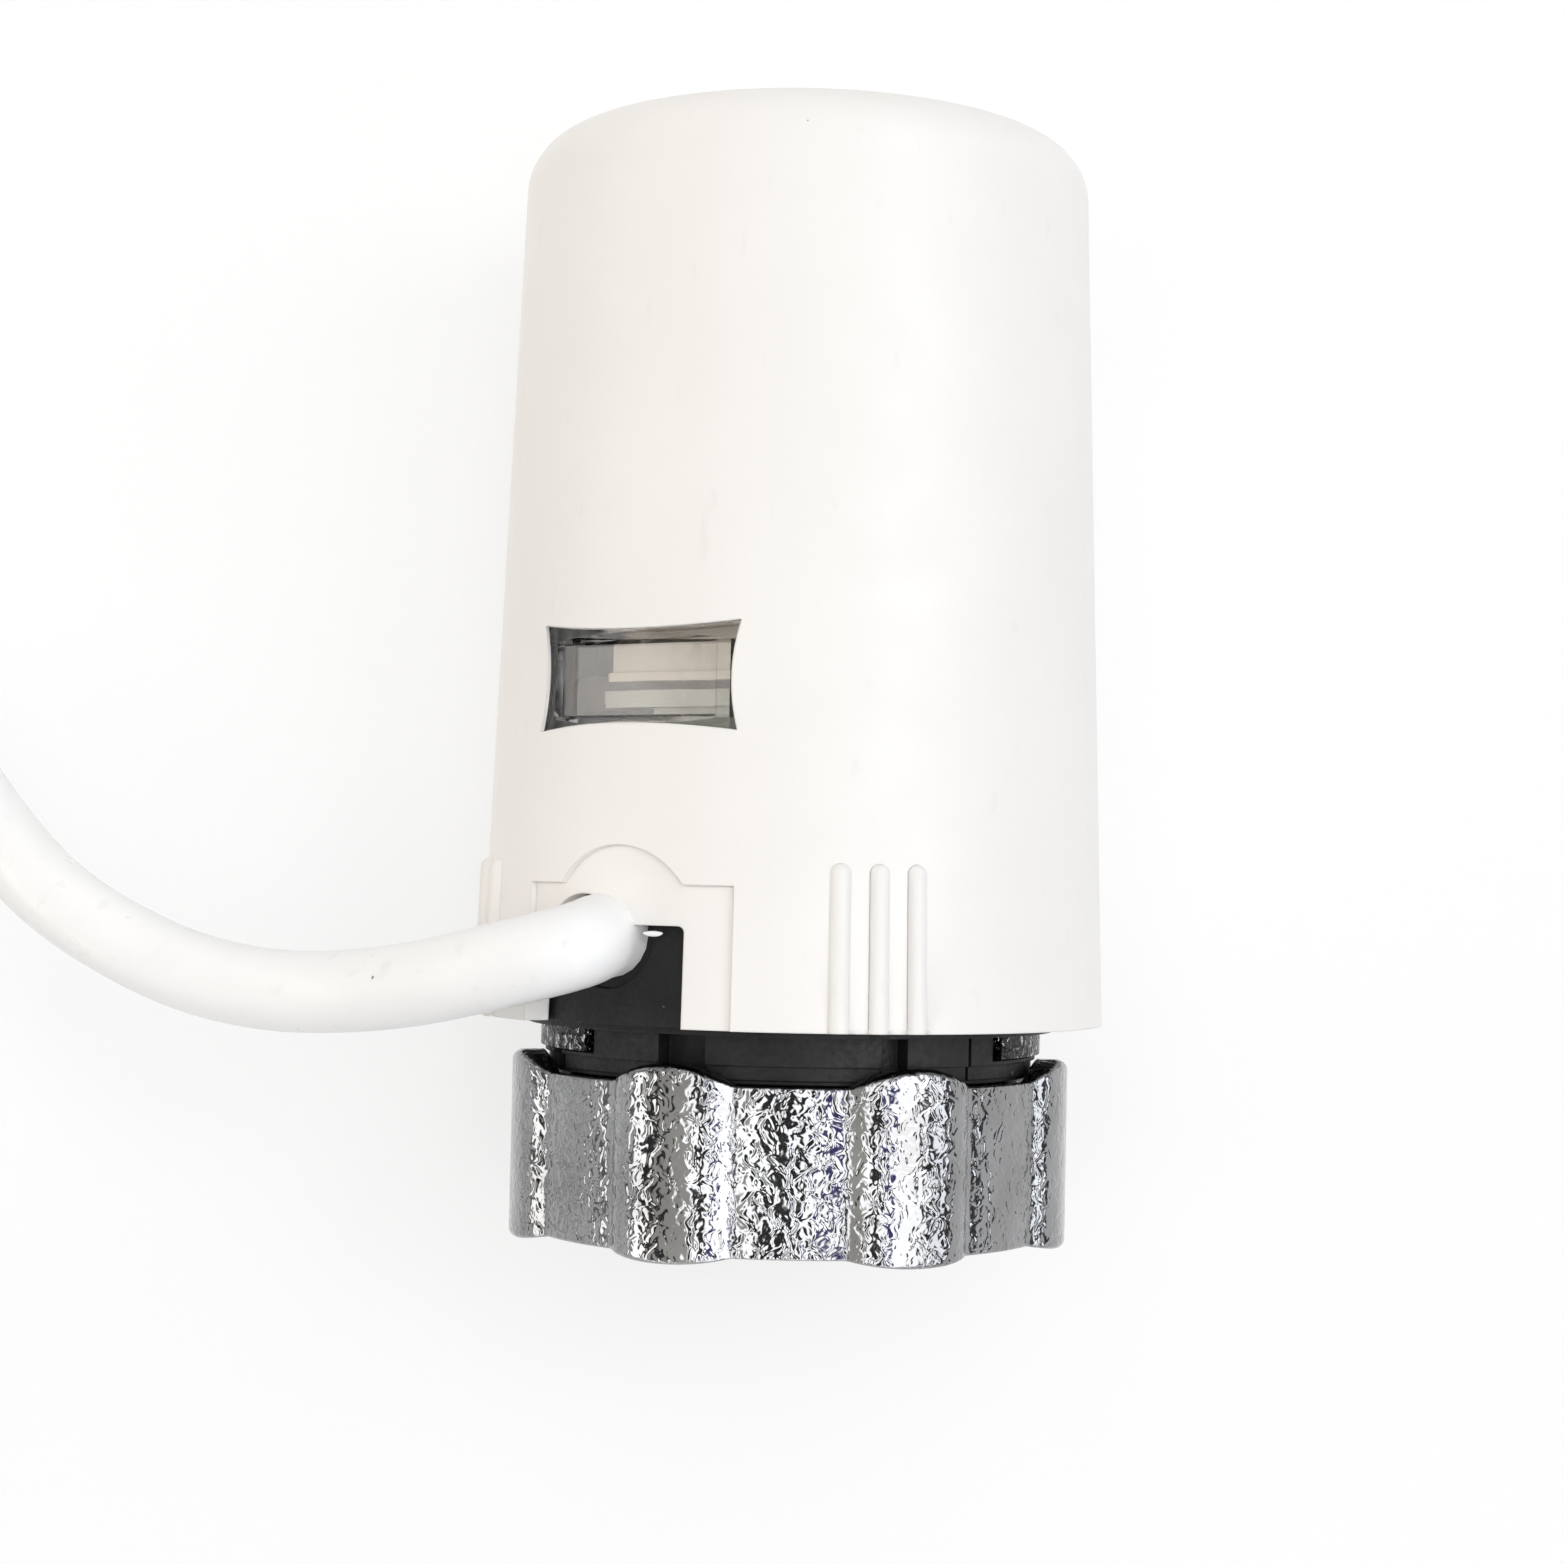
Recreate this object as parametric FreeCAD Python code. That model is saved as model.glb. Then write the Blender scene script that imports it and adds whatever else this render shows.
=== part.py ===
import FreeCAD, Part
import math
import os
from FreeCAD import Vector, Placement, Rotation

# A thermal actuator for a radiator or manifold valve, lying on its back on a table.
# Every piece is made about the actuator's own axis, with heights from the face of the
# union nut, and is then laid down with that axis along +Y. The origin is on the axis
# where the nut's thread starts.
# Angles are turned about the axis from the side that faces up from the table,
# positive towards +X. Sizes are in millimetres and heights run along the axis.

os.makedirs("parts", exist_ok=True)

# Union nut with M30 x 1.5 thread
THREAD_MINOR_R = 14.19
THREAD_START_Z = 0.9
NUT_HEIGHT = 9.6
NUT_WALL = 2.56
NUT_WEB = 1.2
NUT_RELIEF = 0.51
NUT_LOBES = 7
NUT_LOBE_PROUD = 1.15
NUT_LOBE_HALF = 13.4
NUT_LOBE_TURN = 25.5
NUT_LOBE_RISE = 1.25
NUT_LOBE_DROP = 0.45
NUT_ROOT_R = THREAD_MINOR_R + NUT_WALL
NUT_LOBE_R = NUT_ROOT_R + NUT_LOBE_PROUD
NUT_RELIEF_R = THREAD_MINOR_R + NUT_RELIEF

# Neck and band of the base, between the nut and the casing
NUT_GAP = 0.3
WASHER_ROOM = 0.25
NECK_SET_IN = 1.39
NECK_RUN = 0.15
NECK_DROP = 1.15
RING_THICK = 0.75
BAND_HEIGHT = 3.1
BAND_STEP = 0.85
BAND_SET_IN = 1.0
CLIP_PROUD = 0.3
CLIP_DEPTH = 0.8
CLIP_OPEN_LOW = -52.4
CLIP_OPEN_HIGH = 53.2
BAND_SLOTS = ((-30.9, -19.6), (19.6, 25.7), (42.6, 43.6), (109, 115), (199, 205), (289, 295))
BAND_LOW_Z = NUT_HEIGHT + NUT_GAP
BAND_STEP_Z = BAND_LOW_Z + BAND_STEP
BAND_R = NUT_ROOT_R - BAND_SET_IN
NUT_SEAT_Z = BAND_LOW_Z - WASHER_ROOM
NUT_WEB_Z = NUT_SEAT_Z - NUT_WEB
NECK_R = THREAD_MINOR_R - NECK_SET_IN
NECK_LOW_Z = NUT_WEB_Z - NECK_DROP
THREAD_END_Z = NECK_LOW_Z - 0.5
RING_LOW_Z = NECK_LOW_Z + 0.25

# Outer casing
CASE_HEIGHT = 56.4
CASE_FOOT_R = 20.0
CASE_TOP_R = 18.1
CASE_WALL = 1.7
CASE_TOP_WALL = 2.0
CASE_EDGE_R = 3.6
CASE_CROWN = 0.35
CASE_FOOT_Z = BAND_LOW_Z + BAND_HEIGHT
CASE_TOP_Z = CASE_FOOT_Z + CASE_HEIGHT
CLIP_LOW_Z = BAND_STEP_Z + 0.35
CLIP_HIGH_Z = CASE_FOOT_Z - 0.5

# The side that carries the window and the cable
FRONT = -32.8
CORD_ANGLE = -39.2
RIB_SETS = (FRONT + 46.7, FRONT + 136.7, FRONT + 226.7, FRONT + 316.7)
RIB_STEP = 6.75
RIB_R = 0.62
RIB_PROUD = 0.5
RIB_HEIGHT = 9.9

# Recessed field and notch round the cable
FIELD_HALF = 21.8
FIELD_DEPTH = 0.4
FIELD_HEIGHT = 8.4
FIELD_ARCH_R = 5.26
FIELD_ARCH_DROP = 2.96
NOTCH_LOW = FRONT - FIELD_HALF
NOTCH_HIGH = -19.9
NOTCH_HEIGHT = 6.0
FIELD_TOP_Z = CASE_FOOT_Z + FIELD_HEIGHT
NOTCH_TOP_Z = CASE_FOOT_Z + NOTCH_HEIGHT

# Window
WIN_RISE = 20.75
WIN_HALF_H = 3.25
WIN_LEFT = -7.05
WIN_RIGHT = 7.15
WIN_BOW = 0.45
PANE_SET_IN = 1.6
PANE_THICK = 1.1
PANE_SLOPE = 1.35
PANE_DEPTH = 2.9
LENS_DEEP = 0.9
LENS_PLAY = 0.06
LENS_SET_IN = 0.22
LENS_FLANGE = 1.2
PANE_LAP = 0.4
BACK_LEFT = 0.5
BACK_RIGHT = 0.3
BACK_RISE = 0.2
WIN_Z = CASE_FOOT_Z + WIN_RISE
PANE_BORDER_LEFT = 1.3
PANE_BORDER_RIGHT = 1.65
PANE_BORDER_LOW = 1.0
PANE_BORDER_HIGH = 1.25
PANE_LEFT = WIN_LEFT + PANE_BORDER_LEFT
PANE_RIGHT = WIN_RIGHT - PANE_BORDER_RIGHT
PANE_LOW_Z = WIN_Z - WIN_HALF_H + PANE_BORDER_LOW
PANE_HIGH_Z = WIN_Z + WIN_HALF_H - PANE_BORDER_HIGH

# Base housing
BASE_FLOOR = 2.5
BASE_HEIGHT = 11.0
BASE_WALL = 1.6
BASE_PLAY = 0.3
CATCH_PROUD = 0.45
CATCH_RISE = 7.0
CATCH_HALF_H = 0.65
CATCH_HALF_W = 2.0
POST_RADIUS = 1.7
POST_GAP = 1.4
POSTS = (FRONT + 38, FRONT + 142, FRONT - 142, FRONT - 44)
BASE_FLOOR_Z = CASE_FOOT_Z + BASE_FLOOR
BASE_TOP_Z = CASE_FOOT_Z + BASE_HEIGHT
BASE_R = CASE_FOOT_R - CASE_WALL - BASE_PLAY
CATCH_R = BASE_R + CATCH_PROUD
CATCH_Z = CASE_FOOT_Z + CATCH_RISE
POST_R = BASE_R - BASE_WALL - POST_RADIUS - POST_GAP

# Cable, its bush and its clamp
CORD_D = 5.1
CORD_LENGTH = 1000.0
CORD_RISE = 5.5
CORE_D = 1.9
SNUG = 0.03
GLAND_WALL = 0.8
CASE_CORD_GAP = 0.2
GLAND_RUN = 3.2
CLAMP_DEEP = 2.2
SHEATH_OUT = 0.2
SCREW_R = 0.9
SCREW_FIT = 0.03
SCREW_PLAY = 0.08
CORD_EXIT_Z = CASE_FOOT_Z + CORD_RISE
GLAND_R = CORD_D / 2 + GLAND_WALL
CLAMP_FAR = BASE_R - GLAND_RUN
CLAMP_NEAR = CLAMP_FAR - CLAMP_DEEP
CLAMP_SCREW = CORD_D / 2 + 1.85
CLAMP_HALF = CLAMP_SCREW + 1.5
SHEATH_END_R = CLAMP_NEAR - SHEATH_OUT

# Moving column, which lifts when the wax melts
LIFT = 4.0
RUN = 0.08
TIP_R = 3.5
TIP_OUT = 0.3
BUSH_WALL = 1.9
BUSH_FLANGE = 0.5
SEAL_WIRE_R = 0.62
SEAL_RISE = 3.9
HEAD_HEIGHT = 1.8
SPIGOT_R = 2.4
CAGE_PLATE = 2.4
CAGE_HALF_W = 3.4
ARM_THICK = 2.4
ARM_GAP = 3.0
TIP_Z = NECK_LOW_Z - TIP_OUT
BUSH_R = TIP_R + BUSH_WALL
SEAL_Z = NECK_LOW_Z + SEAL_RISE
HEAD_R = TIP_R + 2.1
HEAD_LOW_Z = BASE_FLOOR_Z + BUSH_FLANGE + 0.1
CAGE_LOW_Z = HEAD_LOW_Z + HEAD_HEIGHT
ARM_OUT = BASE_R - BASE_WALL - ARM_GAP
ARM_IN = ARM_OUT - ARM_THICK

# Fixed wax motor
CUP_R = 6.0
CUP_WALL = 1.25
CUP_HEIGHT = 12.1
CUP_PLAY = 0.12
HOLDER_WALL = 1.4
HOLDER_GAP = 0.7
HEATER_ROOM = 3.9
SHEET = 0.36
COLLAR = 0.085
TAB_NEAR = 0.5
TAB_FAR = 3.1
TAB_SIDE = 1.3
TAB_DROP = 3.5
SLEEVE_R = 1.25
CORE_BEND = 2.8
CUP_FLANGE = 1.2
CRIMP_PROUD = 0.6
CRIMP_LIP = 0.28
PISTON_R = 1.5
GUIDE_NECK = 6.0
PISTON_OUT = 4.0
FRAME_RISE = 3.1
FRAME_THICK = 2.2
HOLDER_SCREW_SIDE = 3.2
HOLDER_R = CUP_R + HOLDER_WALL
HOLDER_Z = CAGE_LOW_Z + CAGE_PLATE + LIFT + HOLDER_GAP
HOLDER_SCREW_R = HOLDER_R + 2.2
TAB_R = HOLDER_R + 0.22
CUP_Z = HOLDER_Z + HEATER_ROOM
CUP_TOP_Z = CUP_Z + CUP_HEIGHT
CUP_BORE_R = CUP_R - CUP_WALL
CUP_FLANGE_R = CUP_R + 1.6
FRAME_Z = CUP_Z + FRAME_RISE
FRAME_R = POST_R + 1.1
GUIDE_TOP_Z = CUP_TOP_Z + GUIDE_NECK
BRIDGE_Z = GUIDE_TOP_Z + PISTON_OUT
BRIDGE_TOP_Z = BRIDGE_Z + CAGE_PLATE
NEUTRAL_Z = HOLDER_Z + 4.5
DIAPHRAGM_Z = CUP_TOP_Z - 2.55
NOSE_R = PISTON_R + 0.7

# Flag of the indicator and the band under it
FLAG_GAP = 0.8
FLAG_THICK = 1.0
FLAG_LOW = -11.8
FLAG_HIGH = 24.0
FLAG_HEIGHT = 6.65
FLAG_LOW_Z = WIN_Z - 0.15
STRIP_GAP = 0.5
STRIP_HEIGHT = 1.05
STRIP_LOW = FLAG_LOW - 3.2
STRIP_STEM = 0.4
TONGUE_HALF = 2.4

# Closing spring and its seats
SPRING_R = 9.3
SPRING_WIRE = 1.5
SPRING_TURNS = 4.0
SEAT_THICK = 1.35
SEAT_WASHER = 0.8
SEAT_REACH = 2.1
SEAT_TOP_Z = CASE_TOP_Z - CASE_TOP_WALL - 0.05
SEAT_Z = SEAT_TOP_Z - SEAT_THICK

# Coil of the cable and its tie
COIL_X = -99.0
COIL_Y = 11.2
COIL_RUN_IN = 11.2
COIL_TURN = 60.0
COIL_OUT_R = 36.2
COIL_GAP = 0.5
COIL_HALVES = 4
TIE_ANGLE = 76.0
TIE_STRAP = 0.6
TIE_WIDTH = 3.6
TIE_LIFT = 0.08
BARE_LENGTH = 16.0
FERRULE_LEN = 8.0
COIL_STEP = CORD_D + COIL_GAP

UP = Vector(0, 0, 1)
LAY = Placement(Vector(0, -THREAD_START_Z, 0), Rotation(Vector(1, 0, 0), -90))


def turned(angle):
    # unit vector away from the axis at an angle
    a = math.radians(angle)
    return Vector(math.sin(a), -math.cos(a), 0)


def across(angle):
    # unit vector square to turned(angle), towards growing angles
    a = math.radians(angle)
    return Vector(math.cos(a), math.sin(a), 0)


def spun(shape, angle):
    # turn a shape from the side that faces up to an angle
    s = shape.copy()
    s.rotate(Vector(0, 0, 0), UP, angle)
    return s


def disc(r, low, high):
    return Part.makeCylinder(r, high - low, Vector(0, 0, low))


def ring(r_in, r_out, low, high):
    return disc(r_out, low, high).cut(disc(r_in, low - 1, high + 1))


def rod(start, direction, r, length):
    return Part.makeCylinder(r, length, start, direction)


def bar(angle, near, far, side_low, side_high, low, high):
    # box between two distances from the axis and two sideways offsets
    b = Part.makeBox(side_high - side_low, far - near, high - low, Vector(side_low, -far, low))
    return spun(b, angle)


def sector(angle_low, angle_high, r, low, high):
    # wedge of a cylinder between two angles
    s = Part.makeCylinder(r, high - low, Vector(0, 0, low), UP, angle_high - angle_low)
    s.rotate(Vector(0, 0, 0), UP, angle_low - 90)
    return s


def lathe(points):
    pts = [Vector(r, 0, z) for r, z in points]
    face = Part.Face(Part.makePolygon(pts + [pts[0]]))
    return face.revolve(Vector(0, 0, 0), UP, 360)


def fused(shapes):
    out = shapes[0].multiFuse(shapes[1:])
    return out.removeSplitter()


def case_r(z):
    # outer radius of the casing with its draft
    return CASE_FOOT_R + (CASE_TOP_R - CASE_FOOT_R) * (z - CASE_FOOT_Z) / (CASE_TOP_Z - CASE_FOOT_Z)


def case_cone(inset, low, high):
    # cone parallel to the casing's outside
    return Part.makeCone(case_r(low) - inset, case_r(high) - inset, high - low, Vector(0, 0, low))


def keep(name, shape):
    s = shape.copy()
    s.Placement = LAY.multiply(s.Placement)
    print(name, "valid", s.isValid(), "solids", len(s.Solids), "mm3 %.1f" % s.Volume)
    s.exportStep("parts/%s.step" % name)


def window_prism(grow, near, far):
    # outline of the window, with sides that bow inwards, pushed out from the axis
    left = WIN_LEFT - grow
    right = WIN_RIGHT + grow
    low = WIN_Z - WIN_HALF_H - grow
    high = WIN_Z + WIN_HALF_H + grow
    mid = 0.5 * (left + right)
    bow = WIN_BOW
    a = Vector(left, 0, low)
    b = Vector(right, 0, low)
    c = Vector(right, 0, high)
    d = Vector(left, 0, high)
    edges = [
        Part.Arc(a, Vector(mid, 0, low + bow), b).toShape(),
        Part.Arc(b, Vector(right - bow, 0, WIN_Z), c).toShape(),
        Part.Arc(c, Vector(mid, 0, high - bow), d).toShape(),
        Part.Arc(d, Vector(left + bow, 0, WIN_Z), a).toShape(),
    ]
    face = Part.Face(Part.Wire(edges))
    face.translate(Vector(0, -near, 0))
    return spun(face.extrude(Vector(0, near - far, 0)), FRONT)


def cord_hole(r, near, far):
    # round passage along the cable where it leaves the housing
    n = turned(CORD_ANGLE)
    return rod(n * near + UP * CORD_EXIT_Z, n, r, far - near)


def casing_body(inset, top_drop, foot_z):
    # solid of the casing's outer shape, set in by a wall
    top_z = CASE_TOP_Z - top_drop
    body = case_cone(inset, foot_z, top_z)
    edge = [e for e in body.Edges if abs(e.BoundBox.ZMin - top_z) < 1e-6
            and abs(e.BoundBox.ZMax - top_z) < 1e-6]
    return body.makeFillet(max(CASE_EDGE_R - inset, 1.2), edge)


def outer_casing():
    body = casing_body(0.0, 0.0, CASE_FOOT_Z)
    crown_r = (CASE_TOP_R - CASE_EDGE_R) ** 2 / (2 * CASE_CROWN) + CASE_CROWN / 2
    crown = Part.makeSphere(crown_r, Vector(0, 0, CASE_TOP_Z + CASE_CROWN - crown_r))
    body = body.fuse(crown.common(disc(CASE_TOP_R - CASE_EDGE_R, CASE_TOP_Z - 0.4, CASE_TOP_Z + 1)))
    body = body.cut(casing_body(CASE_WALL, CASE_TOP_WALL, CASE_FOOT_Z - 0.5))
    ribs = [grip_rib(a + k * RIB_STEP) for a in RIB_SETS for k in (-1, 0, 1)]
    body = body.multiFuse(ribs)
    field = sector(FRONT - FIELD_HALF, FRONT + FIELD_HALF, 30, CASE_FOOT_Z - 1, FIELD_TOP_Z)
    arch = rod(turned(FRONT) * 10 + UP * (FIELD_TOP_Z - FIELD_ARCH_DROP), turned(FRONT), FIELD_ARCH_R, 20)
    core = case_cone(FIELD_DEPTH, CASE_FOOT_Z - 3, FIELD_TOP_Z + FIELD_ARCH_R + 3)
    body = body.cut(field.fuse(arch).cut(core))
    notch = sector(NOTCH_LOW, NOTCH_HIGH, 30, CASE_FOOT_Z - 1, NOTCH_TOP_Z).cut(disc(12, 5, 30))
    edges = [e for e in notch.Edges if e.BoundBox.ZLength < 0.01 and e.BoundBox.ZMin > NOTCH_TOP_Z - 0.1
             and abs(e.Length - 18) < 0.1]
    notch = notch.makeFillet(0.4, edges)
    body = body.cut(notch)
    body = body.cut(cord_way(CASE_CORD_GAP))
    body = body.cut(window_prism(0.0, 12, 24))
    stiff = []
    for a in (FRONT + 70, FRONT + 180, FRONT + 290):
        web = bar(a, CASE_TOP_R - 2.9, CASE_FOOT_R, -0.5, 0.5, CASE_TOP_Z - 12.9, CASE_TOP_Z - 1.0)
        stiff.append(web.common(casing_body(0.4, 0.4, CASE_FOOT_Z)))
    body = body.multiFuse(stiff)
    for a in RIB_SETS:
        body = body.cut(bar(a, BASE_R - 1.5, CATCH_R + 0.25, -CATCH_HALF_W - 0.2, CATCH_HALF_W + 0.2,
                            CATCH_Z - CATCH_HALF_H - 0.15, CATCH_Z + CATCH_HALF_H + 0.15))
    return body.removeSplitter()


def cord_way(gap):
    # room along the cable's own bend through the wall
    pts = [Vector(p.x, -p.z, p.y) for p in LEAD_ROUTE[:5]]
    path = tangent_path(pts, "way of the cable")
    return tube(path, CORD_D + 2 * gap, pts[0], pts[1] - pts[0], "way of the cable")


def grip_rib(angle):
    # raised finger rib with rounded face and rounded top end, down to the casing's foot
    low = CASE_FOOT_Z
    high = CASE_FOOT_Z + RIB_HEIGHT - RIB_R
    lean = math.atan((CASE_FOOT_R - CASE_TOP_R) / CASE_HEIGHT)
    foot = Vector(0, -(CASE_FOOT_R + RIB_PROUD - RIB_R), low)
    up = Vector(0, math.sin(lean), math.cos(lean))
    shaft = Part.makeCylinder(RIB_R, high - low, foot, up)
    cap = Part.makeSphere(RIB_R, foot + up * (high - low))
    rib = shaft.fuse(cap).cut(disc(CASE_FOOT_R * 2, low - 4, low))
    return spun(rib, angle)


def window_lens():
    pane_out = case_r(WIN_Z) - PANE_SET_IN
    out = casing_body(LENS_SET_IN, 0.3, CASE_FOOT_Z)
    inner = casing_body(CASE_WALL + LENS_DEEP, 4.0, CASE_FOOT_Z)
    plug = window_prism(-LENS_PLAY, 12, 24).common(out)
    flange = window_prism(LENS_FLANGE, 12, 24).common(casing_body(CASE_WALL + 0.08, 3.0, CASE_FOOT_Z))
    shell = plug.fuse(flange).cut(inner)
    pane = Part.makeBox(PANE_RIGHT - PANE_LEFT + 2 * PANE_LAP, PANE_THICK,
                        PANE_HIGH_Z - PANE_LOW_Z + 2 * PANE_LAP,
                        Vector(PANE_LEFT - PANE_LAP, -pane_out, PANE_LOW_Z - PANE_LAP))
    shell = shell.fuse(spun(pane, FRONT))
    pocket = frustum(pane_out, 0.0, pane_out + PANE_DEPTH, PANE_SLOPE)
    shell = shell.cut(spun(pocket, FRONT))
    back = Part.makeBox(PANE_RIGHT - PANE_LEFT + BACK_LEFT + BACK_RIGHT, 6,
                        PANE_HIGH_Z - PANE_LOW_Z + 2 * BACK_RISE,
                        Vector(PANE_LEFT - BACK_LEFT, -(pane_out - PANE_THICK), PANE_LOW_Z - BACK_RISE))
    return shell.cut(spun(back, FRONT)).removeSplitter()


def frustum(near, near_grow, far, far_grow):
    # sloped pocket over the pane, wider towards the outside
    wires = []
    for y, g in ((near, near_grow), (far, far_grow)):
        pts = [Vector(PANE_LEFT - g, -y, PANE_LOW_Z - g), Vector(PANE_RIGHT + g, -y, PANE_LOW_Z - g),
               Vector(PANE_RIGHT + g, -y, PANE_HIGH_Z + g), Vector(PANE_LEFT - g, -y, PANE_HIGH_Z + g)]
        wires.append(Part.makePolygon(pts + [pts[0]]))
    return Part.makeLoft(wires, True, True)


def union_nut():
    body = disc(NUT_ROOT_R, 0, NUT_HEIGHT)
    pads = []
    half = NUT_LOBE_R * math.sin(math.radians(NUT_LOBE_HALF))
    for k in range(NUT_LOBES):
        pads.append(spun(nut_lobe(half), NUT_LOBE_TURN + k * 360.0 / NUT_LOBES))
    body = body.multiFuse(pads)
    mouth = THREAD_MINOR_R + THREAD_START_Z
    bore = lathe([(0, -1), (mouth, -1), (mouth, 0), (THREAD_MINOR_R, THREAD_START_Z),
                  (THREAD_MINOR_R, THREAD_END_Z), (NUT_RELIEF_R, THREAD_END_Z + 0.3),
                  (NUT_RELIEF_R, NUT_WEB_Z),
                  (NECK_R + NECK_RUN, NUT_WEB_Z), (NECK_R + NECK_RUN, NUT_HEIGHT + 3), (0, NUT_HEIGHT + 3)])
    body = body.cut(bore)
    return body.cut(disc(BAND_R + 0.3, NUT_SEAT_Z, NUT_HEIGHT + 3)).removeSplitter()


def nut_lobe(half):
    # rounded pad whose top arches up and whose foot arches down
    flank = 0.55
    shoulder = NUT_LOBE_R - 0.75
    a = Vector(half, -(NUT_ROOT_R - 0.9), 0)
    b = Vector(half - flank * 0.4, -(shoulder * math.cos(math.asin((half - flank) / shoulder))), 0)
    c = Vector(-b.x, b.y, 0)
    d = Vector(-half, a.y, 0)
    inside = 2 - THREAD_MINOR_R
    e0 = Part.makePolygon([d, Vector(-half, inside, 0), Vector(half, inside, 0), a, b])
    e1 = Part.Arc(b, Vector(0, -NUT_LOBE_R, 0), c).toShape()
    e2 = Part.makePolygon([c, d])
    face = Part.Face(Part.Wire(e0.Edges + [e1] + e2.Edges))
    low = -NUT_LOBE_DROP
    high = NUT_HEIGHT + NUT_LOBE_RISE
    face.translate(Vector(0, 0, low))
    pad = face.extrude(Vector(0, 0, high - low))
    hs = half + 0.02
    top_arc = [Vector(-hs, 0, NUT_HEIGHT), Vector(0, 0, high), Vector(hs, 0, NUT_HEIGHT)]
    low_arc = [Vector(-hs, 0, 0), Vector(0, 0, low), Vector(hs, 0, 0)]
    outline = Part.Wire([Part.Arc(*top_arc).toShape(), Part.makeLine(top_arc[2], low_arc[2]),
                         Part.Arc(*low_arc).toShape(), Part.makeLine(low_arc[0], top_arc[0])])
    tower = Part.Face(outline).extrude(Vector(0, -2 * NUT_LOBE_R, 0))
    return pad.common(tower)


def nut_retaining_ring():
    # split ring in the neck's groove, which the nut's web rests on
    r = ring(NECK_R - 0.75, THREAD_MINOR_R - 0.15, RING_LOW_Z, RING_LOW_Z + RING_THICK)
    return r.cut(bar(FRONT + 180, NECK_R - 2, NUT_ROOT_R, -1.6, 1.6, NECK_LOW_Z, NUT_WEB_Z))


def nut_slip_washer():
    return ring(NECK_R + 0.08, BAND_R - 0.4, NUT_SEAT_Z + 0.01, BAND_LOW_Z - 0.01)


def retaining_clip():
    # open spring clip in a groove of the band, whose two ends show beside the nut
    c = ring(BAND_R - CLIP_DEPTH, BAND_R + CLIP_PROUD, CLIP_LOW_Z, CLIP_HIGH_Z)
    return c.cut(sector(CLIP_OPEN_LOW, CLIP_OPEN_HIGH, 30, BAND_LOW_Z, CASE_FOOT_Z))


def base_housing():
    neck = disc(NECK_R, NECK_LOW_Z, BAND_LOW_Z + 0.5)
    band_low = disc(BAND_R - 0.25, BAND_LOW_Z, BAND_STEP_Z)
    band = disc(BAND_R, BAND_STEP_Z, CASE_FOOT_Z)
    groove_low = CLIP_LOW_Z - 0.1
    groove_high = CLIP_HIGH_Z + 0.05
    shelf = disc(BASE_R - 1.1, groove_high, CASE_FOOT_Z + 0.4)
    upper = case_cone(CASE_WALL + BASE_PLAY, CASE_FOOT_Z, BASE_TOP_Z)
    body = neck.multiFuse([band_low, band, shelf, upper])
    body = body.cut(case_cone(CASE_WALL + BASE_PLAY + BASE_WALL, BASE_FLOOR_Z, BASE_TOP_Z + 1))
    body = body.cut(ring(NECK_R - 0.8, NECK_R + 2, RING_LOW_Z - 0.05, RING_LOW_Z + RING_THICK + 0.08))
    body = body.cut(ring(BAND_R - CLIP_DEPTH - 0.05, BAND_R + 1.25, groove_low, groove_high))
    fill = ring(BAND_R - 1.75, BAND_R, groove_low, groove_high)
    body = body.fuse(fill.common(sector(CLIP_OPEN_LOW + 2, CLIP_OPEN_HIGH - 2, 30, BAND_LOW_Z, CASE_FOOT_Z)))
    for low_a, high_a in BAND_SLOTS:
        slot = sector(low_a, high_a, 30, BAND_LOW_Z - 0.1, groove_high)
        body = body.cut(slot.cut(disc(BAND_R - 1.3, NECK_LOW_Z, CASE_FOOT_Z)))
    body = body.cut(disc(BUSH_R + 0.02, NECK_LOW_Z + 1.2, BASE_FLOOR_Z + 1))
    body = body.cut(disc(TIP_R + 0.6, NECK_LOW_Z - 1, NECK_LOW_Z + 2))
    # cable passage and saddle
    body = body.cut(cord_hole(GLAND_R + SNUG, CLAMP_FAR, CASE_FOOT_R + 4))
    saddle = bar(CORD_ANGLE, CLAMP_NEAR, CLAMP_FAR, -CLAMP_HALF, CLAMP_HALF,
                 BASE_FLOOR_Z - 0.5, CORD_EXIT_Z - 0.6)
    body = body.fuse(saddle.cut(cord_hole(CORD_D / 2 + SNUG, 5, CASE_FOOT_R)))
    for p in clamp_screw_points():
        body = body.cut(rod(p + UP * (BASE_FLOOR_Z - 1.5), UP, SCREW_R + SCREW_FIT, 6))
    for p in post_points():
        body = body.fuse(rod(p + UP * (BASE_FLOOR_Z - 0.3), UP, POST_RADIUS - 0.55, 2.3))
    for a in RIB_SETS:
        low = CATCH_Z - CATCH_HALF_H
        catch = bar(a, BASE_R - 1.2, CATCH_R, -CATCH_HALF_W, CATCH_HALF_W, low, low + 2 * CATCH_HALF_H)
        body = body.fuse(catch)
    return body.removeSplitter()


def post_points():
    return [turned(a) * POST_R for a in POSTS]


def clamp_screw_points():
    n = turned(CORD_ANGLE) * (0.5 * (CLAMP_NEAR + CLAMP_FAR))
    return [n + across(CORD_ANGLE) * side for side in (-CLAMP_SCREW, CLAMP_SCREW)]


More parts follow.
